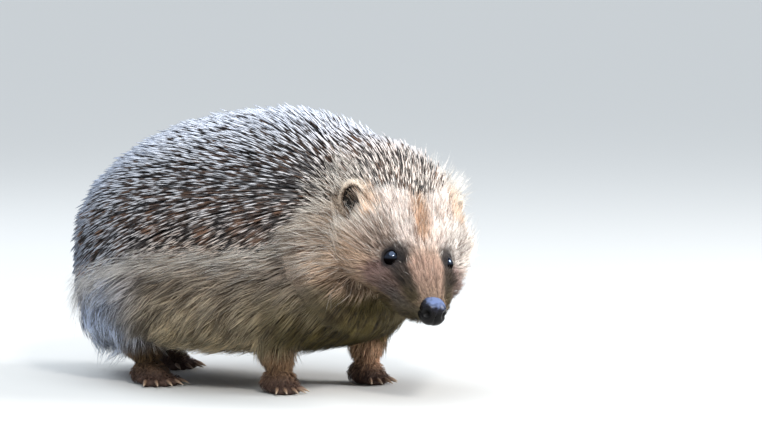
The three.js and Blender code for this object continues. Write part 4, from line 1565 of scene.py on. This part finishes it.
# %% Where the fur of the face and the legs grows
def eye_clear(points):
    """0 on the lids and the balls of the eyes, and on the nose, where nothing grows."""
    clear = step_up(29.5, 27.5, head_place(points)[0])
    for side in (RIGHT, LEFT):
        look, along, across = eye_axes(side)
        away = points - eye_centre(side)
        reach = np.hypot(away @ along, away @ across)
        bare = step_up(LID["bare"], LID["start"], reach)
        clear = clear * np.where(away @ look > -LID["behind"], bare, 1)
    return clear


def on_muzzle(points):
    """1 ahead of the eyes."""
    return step_up(0, 5, head_place(points)[0]) * head_share(points)


def face_weight(side):
    """Where the hair of one side of the face grows, up to the muzzle."""
    def weight(points, facing):
        body = head_share(points) * of_side(points, side) * (1 - on_muzzle(points))
        return furry(points) * body * eye_clear(points)
    return weight


def muzzle_weight(side):
    """Where the hair of one side of the muzzle grows."""
    def weight(points, facing):
        return on_muzzle(points) * of_side(points, side) * eye_clear(points)
    return weight


def leg_weight(points, facing):
    """Where the legs' hair grows: not on the soles."""
    return on_leg(points) * step_up(1.5, 5, points[:, 2]) * (facing[:, 2] > -0.6)


print("share of the skin that is bare round the eyes and nose:", (1 - eye_clear(skin_points)).mean().round(3))

# %% Fur of the flanks, the neck and the face
def thick(radius):
    """The same thickness of hair all over a region."""
    return lambda points: np.full(len(points), radius)


for side, word in ((RIGHT, "right"), (LEFT, "left")):
    fur_region(f"flank_fur_{word}", 15500, trunk_weight(side), trunk_length, thick(0.15),
               5.0, 0.75, "trunk", settle=0.6, stray=0.12, profile=SHORT_PROFILE, streak_width=1.05,
               contrast=3.0)
    fur_region(f"neck_fur_{word}", 12000, neck_weight(side), face_length, thick(0.14),
               4.2, 0.6, "head", settle=0.2, stand=(0.4, 1.15), stray=0.12, profile=SHORT_PROFILE,
               streak_width=1.0, contrast=3.4)
    fur_region(f"face_fur_{word}", 16500, face_weight(side), face_length, face_radius,
               3.2, 0.5, "head", settle=0.12, stand=(0.3, 1.1), stray=0.13, profile=SHORT_PROFILE,
               contrast=1.1)
    fur_region(f"muzzle_fur_{word}", 10000, muzzle_weight(side), face_length, face_radius,
               1.6, 0.35, "head", settle=0.5, stand=(0.2, 0.9), stray=0.12, profile=SHORT_PROFILE,
               streak_width=0.7, contrast=1.7)

# %% Fur of the legs and the tail
fur_region("leg_fur", 9500, leg_weight, lambda p: 3.0 + 8.0 * step_up(9, 28, p[:, 2]), thick(0.12),
           2.4, 0.4, "legs", profile=SHORT_PROFILE, streak_width=0.7, contrast=1.8)
fur_region("tail_fur", 700, lambda p, n: on_tail(p) * 1.0, lambda p: 3.2 + 0 * p[:, 0],
           thick(0.12), 2.5, 0.4, "trunk")

# %% Edge hair and guard hairs
def guard_weight(points, facing):
    """Lone hairs: over the cheeks, the brow and the crown, and a few along the flank."""
    a = head_place(points)[0]
    face = head_zone(points, -50, -34) * step_up(4, -8, a) * (0.5 + cheekness(points))
    high = step_up(52, 68, points[:, 2])
    body = (face + 0.10 * furry(points)) * high * (1 - on_leg(points))
    return body * eye_clear(points) * (1 - near_ear(points))


def edge_weight(points, facing):
    """Thin pale hair along the spines' edge, which lies out over the lowest spines."""
    x, _, z = points.T
    band = np.exp(-((spininess(points) + 5) / 4) ** 2)
    return band * (1 - head_zone(points, -50, -34)) * step_up(38, 46, z) * step_up(-100, -84, x)


fur_region("edge_hair", 2000, edge_weight, lambda p: 17 + 0 * p[:, 0], thick(0.075), 3.0, 0.3,
           "trunk", rise=1.3, stand=(1.0, 1.9), stray=0.2, settle=0.0, profile=SHORT_PROFILE,
           tint=paint(214, 210, 204))
fur_region("guard_hair", 2600, guard_weight, lambda p: 1.05 * face_length(p), thick(0.08),
           2.0, 0.1, "head", rise=1.2, stand=(1.1, 1.7), stray=0.25, settle=0.0, profile=SHORT_PROFILE,
           tint=paint(244, 238, 228))

# %% [markdown]
# ## Skin, ears and lids as one piece
#
# The skin shows between the hairs, on the feet and inside the ears. An ear is a thin cup: a surface that
# runs from the middle of the bowl over the rim and down its back, drawn out to the ear's own height and
# width. Each lid's wet edge is a fine ring. They are joined to the skin's mesh so that it stays one piece.

# %% Ears
def ear_surface(side, rows=40, around=48):
    """Rows run from the bowl's middle out to the rim and back over the outside. share is the distance
    from the middle, depth the distance behind the rim's plane, with a rolled rim and two folds."""
    t = np.linspace(0.01, 0.99, rows)
    inside = t < 0.5
    share = np.sin(np.pi * t) ** 0.85
    bowl = -(EAR["deep"] - EAR["wall"]) * np.sqrt(np.maximum(1 - share ** 2, 0))
    shell = -EAR["deep"] * np.sqrt(np.maximum(1 - share ** 2, 0))
    depth = np.where(inside, bowl, shell)[:, None]
    turn = np.linspace(0, 2 * np.pi, around, endpoint=False)
    folds = 0.7 * np.exp(-((share[:, None] - 0.62) / 0.14) ** 2) * np.cos(turn + 2.4) ** 2 * inside[:, None]
    narrow = 1 + 0.14 * np.sin(turn) * (np.sin(turn) < 0)
    wide = share[:, None] * (EAR["wide"] - EAR_COAT["wide"]) * np.cos(turn) * narrow
    high = share[:, None] * (EAR["long"] - EAR_COAT["long"]) * np.sin(turn)
    facing, across, up = ear_axes(side)
    middle = ear_middle(side) - up * EAR_COAT["sunk"][side == LEFT]
    lengths = ((depth + folds, facing), (wide, across), (high, up))
    return middle + sum(length[..., None] * axis for length, axis in lengths)


ears = {side: ear_surface(side) for side in (RIGHT, LEFT)}
print("an ear's rows and columns:", ears[RIGHT].shape[:2])

# %% Lid edges
def lid_edge(side, around=48, sides=8):
    """A thin wet ring on the opening of the lids."""
    look, along, across = eye_axes(side)
    turn = np.linspace(0, 2 * np.pi, around, endpoint=False)
    reach = LID["opening"] + 0.05
    u, v = reach * np.cos(turn), reach * LID["tall"] * np.sin(turn)
    height = np.sqrt((EYE["radius"] + LID["edge"] / 2) ** 2 - reach ** 2)
    centre = eye_centre(side) + np.outer(u, along) + np.outer(v, across) + look * height
    outwards = unit(np.outer(np.cos(turn), along) + np.outer(np.sin(turn), across))
    tube = np.arange(sides) * 2 * np.pi / sides
    ring = np.cos(tube)[:, None] * outwards[:, None] + np.sin(tube)[:, None] * look
    grid = centre[:, None] + LID["edge"] * ring
    i = np.arange(around)[:, None] * sides
    j = (np.arange(around)[:, None] + 1) % around * sides
    k, n = np.arange(sides), (np.arange(sides) + 1) % sides
    quads = np.stack([i + k, i + n, j + n, j + k], -1).reshape(-1, 4)
    return outward(grid.reshape(-1, 3), [quads])


lid_edges = [lid_edge(side) for side in (RIGHT, LEFT)]
print("points in a lid's edge:", len(lid_edges[0][0]))

# %% Ear fur
EAR_FUR = paint(228, 212, 194)


def ear_hair(side, first, last, number, ways, lengths, radii):
    """Hair rooted on some rows of an ear's grid: how much it points away from the ear's middle, up the ear
    and the way the cup faces is given in ways."""
    grid = ears[side]
    facing, _, up = ear_axes(side)
    row = generator.integers(int(grid.shape[0] * first), int(grid.shape[0] * last), number)
    roots = grid[row, generator.integers(0, grid.shape[1], number)] + generator.normal(0, 0.25, (number, 3))
    out = unit(roots - grid.reshape(-1, 3).mean(0))
    way = unit(out * ways[0] + up * ways[1] + facing * ways[2] + generator.normal(0, 0.22, (number, 3)))
    t = np.linspace(0, 1, 4)
    paths = roots[:, None] + way[:, None] * (generator.uniform(*lengths, number)[:, None] * t)[..., None]
    return paths - facing * (0.9 * t ** 2)[:, None], generator.uniform(*radii, number)


def ear_fur(side, word):
    """Dense hair on an ear's rim and back, and a few fine pale hairs across its cup."""
    coats = [ear_hair(side, 0.50, 0.88, 1300, (1.0, 0.9, -0.25), (2.0, 3.8), (0.06, 0.10)),
             ear_hair(side, 0.47, 0.55, 1300, (1.0, 0.0, 0.3), (1.6, 2.9), (0.06, 0.10)),
             ear_hair(side, 0.26, 0.48, 50, (-0.1, 1.0, 0.3), (2.5, 4.5), (0.03, 0.045))]
    paths, radii = (np.concatenate(parts) for parts in zip(*coats))
    tones, shades = np.repeat(EAR_FUR[None], len(paths), 0), generator.uniform(0.3, 1, len(paths))
    coat_piece(f"ear_fur_{word}", paths, radii, FUR_PROFILE, tones, shades, "head", fur_hair)


for side, word in ((RIGHT, "right"), (LEFT, "left")):
    ear_fur(side, word)

# %% The skin with its ears and lids
shapes = [(skin_points, [skin_quads])]
shapes += [closed_tube(grid) for grid in ears.values()]
shapes += lid_edges
all_points, all_faces = together(shapes)
print("skin with ears and lids:", len(all_points), "points")

# %% Skin material
EAR_INSIDE = paint(22, 18, 15)
EAR_BACK = paint(222, 206, 188)
LID_SKIN = paint(30, 24, 24)


def skin_colours():
    """The markings, darkened under the fur and more under the spines as painted shade between the hairs,
    with bare skin on ears and lids.
    """
    # Painted shade: the skin that shows between hairs and spines is darkened as if deep in the coat's shadow.
    under = 0.62 - 0.42 * step_up(-2, 3, spininess(all_points))
    colours = markings(all_points) * under[:, None]
    rows, around = ears[RIGHT].shape[:2]
    row_share = np.append(np.linspace(0, 1, rows).repeat(around), [0, 1])
    ear_colours = blend(EAR_INSIDE[None], EAR_BACK, step_up(0.42, 0.5, row_share))
    first, last = len(skin_points), len(skin_points) + 2 * len(ear_colours)
    colours[first:last] = np.tile(ear_colours, (2, 1))
    colours[last:] = LID_SKIN
    for side in (RIGHT, LEFT):
        near = np.linalg.norm(all_points - eye_centre(side), axis=-1)
        colours = blend(colours, LID_SKIN, 1 - step_up(LID["start"], LID["end"], near))
    return colours


def skin_material():
    """Fine short nap where it shows between the hairs, and wrinkled leather on the paws."""
    finish = Finish("skin_nap", Roughness=0.75, IOR=1.4)
    tone = finish.attribute("tone", True)
    nap, blotch = finish.noise(1600, 4), finish.noise(120, 3)
    colour = finish.times(tone, 0.7 + 0.35 * nap + 0.25 * blotch)
    return finish.feed(Base_Color=colour, Normal=finish.bump(nap, 0.5, 0.0004))


skin = mesh_piece("skin", all_points, all_faces, skin_material(), amounts=[("tone", skin_colours())])
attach(skin, "root")
flesh = ["back", "belly", "neck", "head", "muzzle", "jaw", "ear_right", "ear_left", "tail"]
flesh += [f"{part}_{leg}" for leg in LEGS for part in ("leg", "paw")]
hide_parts(*flesh)
print("nodes that the skin replaces:", len(flesh))

# %% [markdown]
# ## Eyes, nose and claws
#
# These are hard or wet, so they keep surfaces of their own. An eye is a near black glass bead. The nose is
# a ball pressed in by two nostrils and a groove between them, finely pebbled and wet. A claw is a curved
# cone of horn.

# %% Eyes
def eye_material():
    """Near black glass. On its upper part it is a blue grey metal, so that its gloss is a painted blue
    reflection of the sky; towards the lower lid the gloss fades, painted shade of the lid.
    """
    finish = Finish("eye_gloss", Roughness=0.04, IOR=1.0)
    # The upper part: its blue grey metal gives a painted blue reflection; below it the gloss is taken off as
    # painted shade of the lower lid.
    wet = ((finish.attribute("along") - 0.48) * 5).held()
    colour = finish.mix(wet, (*paint(10, 8, 8), 1), (*paint(64, 72, 86), 1))
    return finish.feed(Base_Color=colour, Metallic=0.05 + 0.95 * wet)


eye_gloss = eye_material()
for side, word in ((RIGHT, "right"), (LEFT, "left")):
    ball, ball_faces = closed_tube(globe(eye_centre(side), eye_axes(side), (EYE["radius"],) * 3, 40, 56))
    height = 0.5 + (ball[:, 2] - eye_centre(side)[2]) / (2 * EYE["radius"])
    eye = mesh_piece(f"eyeball_{word}", ball, ball_faces, eye_gloss, amounts=[("along", height)])
    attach(eye, "root")
    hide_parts(f"eye_{word}")
print("points in an eyeball:", len(ball))

# %% Nose
NOSTRIL = {"ahead": 0.66, "aside": 0.64, "lift": 0.22, "wide": 0.25, "deep": 0.40}
NOSE_FULL = {"power": 2.5, "size": 1.05}  # squarer and a little larger than a plain ball


def nose_surface(rows=80, around=100):
    """A squarish ball whose radius is pressed in by two nostrils, their slits and the groove between them.
    Gives its grid, how deep in a nostril each point is and how far up."""
    turn = pole_to_pole(rows)[:, None]
    swing = np.linspace(0, 2 * np.pi, around, endpoint=False)[None]
    a = -np.cos(turn) + 0 * swing
    s, l = np.sin(turn) * np.cos(swing), np.sin(turn) * np.sin(swing)
    power = NOSE_FULL["power"]
    full = NOSE_FULL["size"] * (np.abs(a) ** power + np.abs(s) ** power + np.abs(l) ** power) ** (-1 / power)
    hole = (a - NOSTRIL["ahead"]) ** 2 + (np.abs(s) - NOSTRIL["aside"]) ** 2 + (l - NOSTRIL["lift"]) ** 2
    pit = np.exp(-hole / NOSTRIL["wide"] ** 2)
    rim = np.exp(-((np.sqrt(hole) - 0.38) / 0.12) ** 2)
    slit = np.exp(-((l - 0.12 + 0.5 * (np.abs(s) - 0.66)) / 0.10) ** 2)
    slit = slit * step_up(0.6, 0.85, np.abs(s)) * (a > -0.2)
    groove = np.exp(-(s / 0.08) ** 2) * step_up(0.3, 0.7, a) * step_up(0.6, 0.1, l)
    size = full - NOSTRIL["deep"] * pit + 0.03 * rim - 0.07 * slit - 0.09 * groove
    size = size * (1 - 0.05 * step_up(0.2, 0.9, -l))
    parts = [size * share * NOSE[key] for share, key in ((a, "long"), (s, "wide"), (l, "high"))]
    grid = in_head(NOSE["at"] + parts[0], parts[1], NOSE["lift"] + parts[2])
    return grid, np.maximum(pit, 0.7 * slit), l


def nose_material():
    """Pebbled leather, near black below, with a blue grey top that is a painted reflection of the sky,
    and painted shade in the nostrils.
    """
    finish = Finish("nose_leather", IOR=1.25)
    inputs = {"Vector": finish.place(), "Scale": 1500.0}
    pebbles = finish.node("ShaderNodeTexVoronoi", {}, inputs, "Distance")
    height = (finish.attribute("along") + (finish.noise(450) - 0.5) * 0.35).held()
    # The ramp's blue grey top is a painted reflection of the sky on the top of the nose.
    colour = finish.ramp(height, [(0.66, paint(9, 7, 7)), (0.82, paint(30, 30, 38)),
                                  (0.96, paint(98, 112, 148))])
    # The nostrils and slits are darkened: painted shade in the holes.
    nostril_shade = finish.attribute("shade")
    colour = finish.times(colour, 1 - 0.92 * nostril_shade)
    bump = finish.bump(pebbles, 0.45, 0.0002)
    return finish.feed(Base_Color=colour, Roughness=0.22 + 0.6 * nostril_shade, Normal=bump)


# How deep in a nostril each point is, which the material darkens as painted shade.
nose_grid, nose_pit_shade, nose_height = nose_surface()
nose_amounts = [(name, np.append(values.ravel(), values[[0, -1], 0]))
                for name, values in (("shade", nose_pit_shade), ("along", 0.5 + 0.5 * nose_height))]
nose = mesh_piece("nose_pad", *closed_tube(nose_grid), nose_material(), amounts=nose_amounts)
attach(nose, "root")
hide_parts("nose")
print("points in the nose pad:", len(nose.data.vertices))

# %% Claws
def claw_paths(rows=7):
    """An arc from inside the toe that dips towards the floor: forward by t, down by the dip and by t²."""
    t = np.linspace(0, 1, rows)
    arcs = []
    for foot, toes_out, _, hind in LEGS.values():
        toe_long = (HIND_PAW if hind else FRONT_PAW)["toe"][0]
        for place, way, _ in zip(*toes_of(foot, toes_out, hind)):
            root = place + way * (toe_long - CLAW["long"] * 0.3) + [0, 0, CLAW["lift"] + 0.6]
            drop = np.tan(np.radians(CLAW["dip"])) * t * CLAW["long"] + 0.8 * t ** 2
            arcs.append(root + np.outer(t * CLAW["long"], way) - np.outer(drop, (0, 0, 1)))
    return np.array(arcs)


def claw_material():
    """Horn, brown at the root and paler towards the tip."""
    finish = Finish("claw_horn", Roughness=0.35, IOR=1.5)
    along = finish.attribute("along")
    colour = finish.ramp(along, [(0.0, paint(92, 70, 60)), (0.6, paint(140, 116, 96)),
                                 (1.0, paint(196, 178, 156))])
    return finish.feed(Base_Color=colour)


arcs = claw_paths()
claw_points, claw_faces, claw_t = tubes(arcs, np.full(len(arcs), CLAW["radius"] * 0.9),
                                        (1.0, 1.0, 0.9, 0.75, 0.55, 0.32), 8)
claw_points[..., 2] = np.maximum(claw_points[..., 2], 0.05)
claws = mesh_piece("claws", claw_points, claw_faces, claw_material(),
                   amounts=[("along", np.tile(claw_t, len(arcs)))])
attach(claws, "root")
print("claws:", len(arcs))

# %% [markdown]
# ## Floor
#
# A plain pale floor, wide enough to reach past the horizon of a low camera.

# %% Floor
FLOOR = 90000.0
square = FLOOR * np.array([(-1, -1, 0), (1, -1, 0), (1, 1, 0), (-1, 1, 0)])
paper = Finish("floor_paper", Base_Color=(0.62, 0.62, 0.61, 1), Roughness=0.9)
floor = mesh_piece("floor", square, [np.array([[0, 1, 2, 3]])], paper.material)
print("the floor reaches", FLOOR / 1000, "m each way")
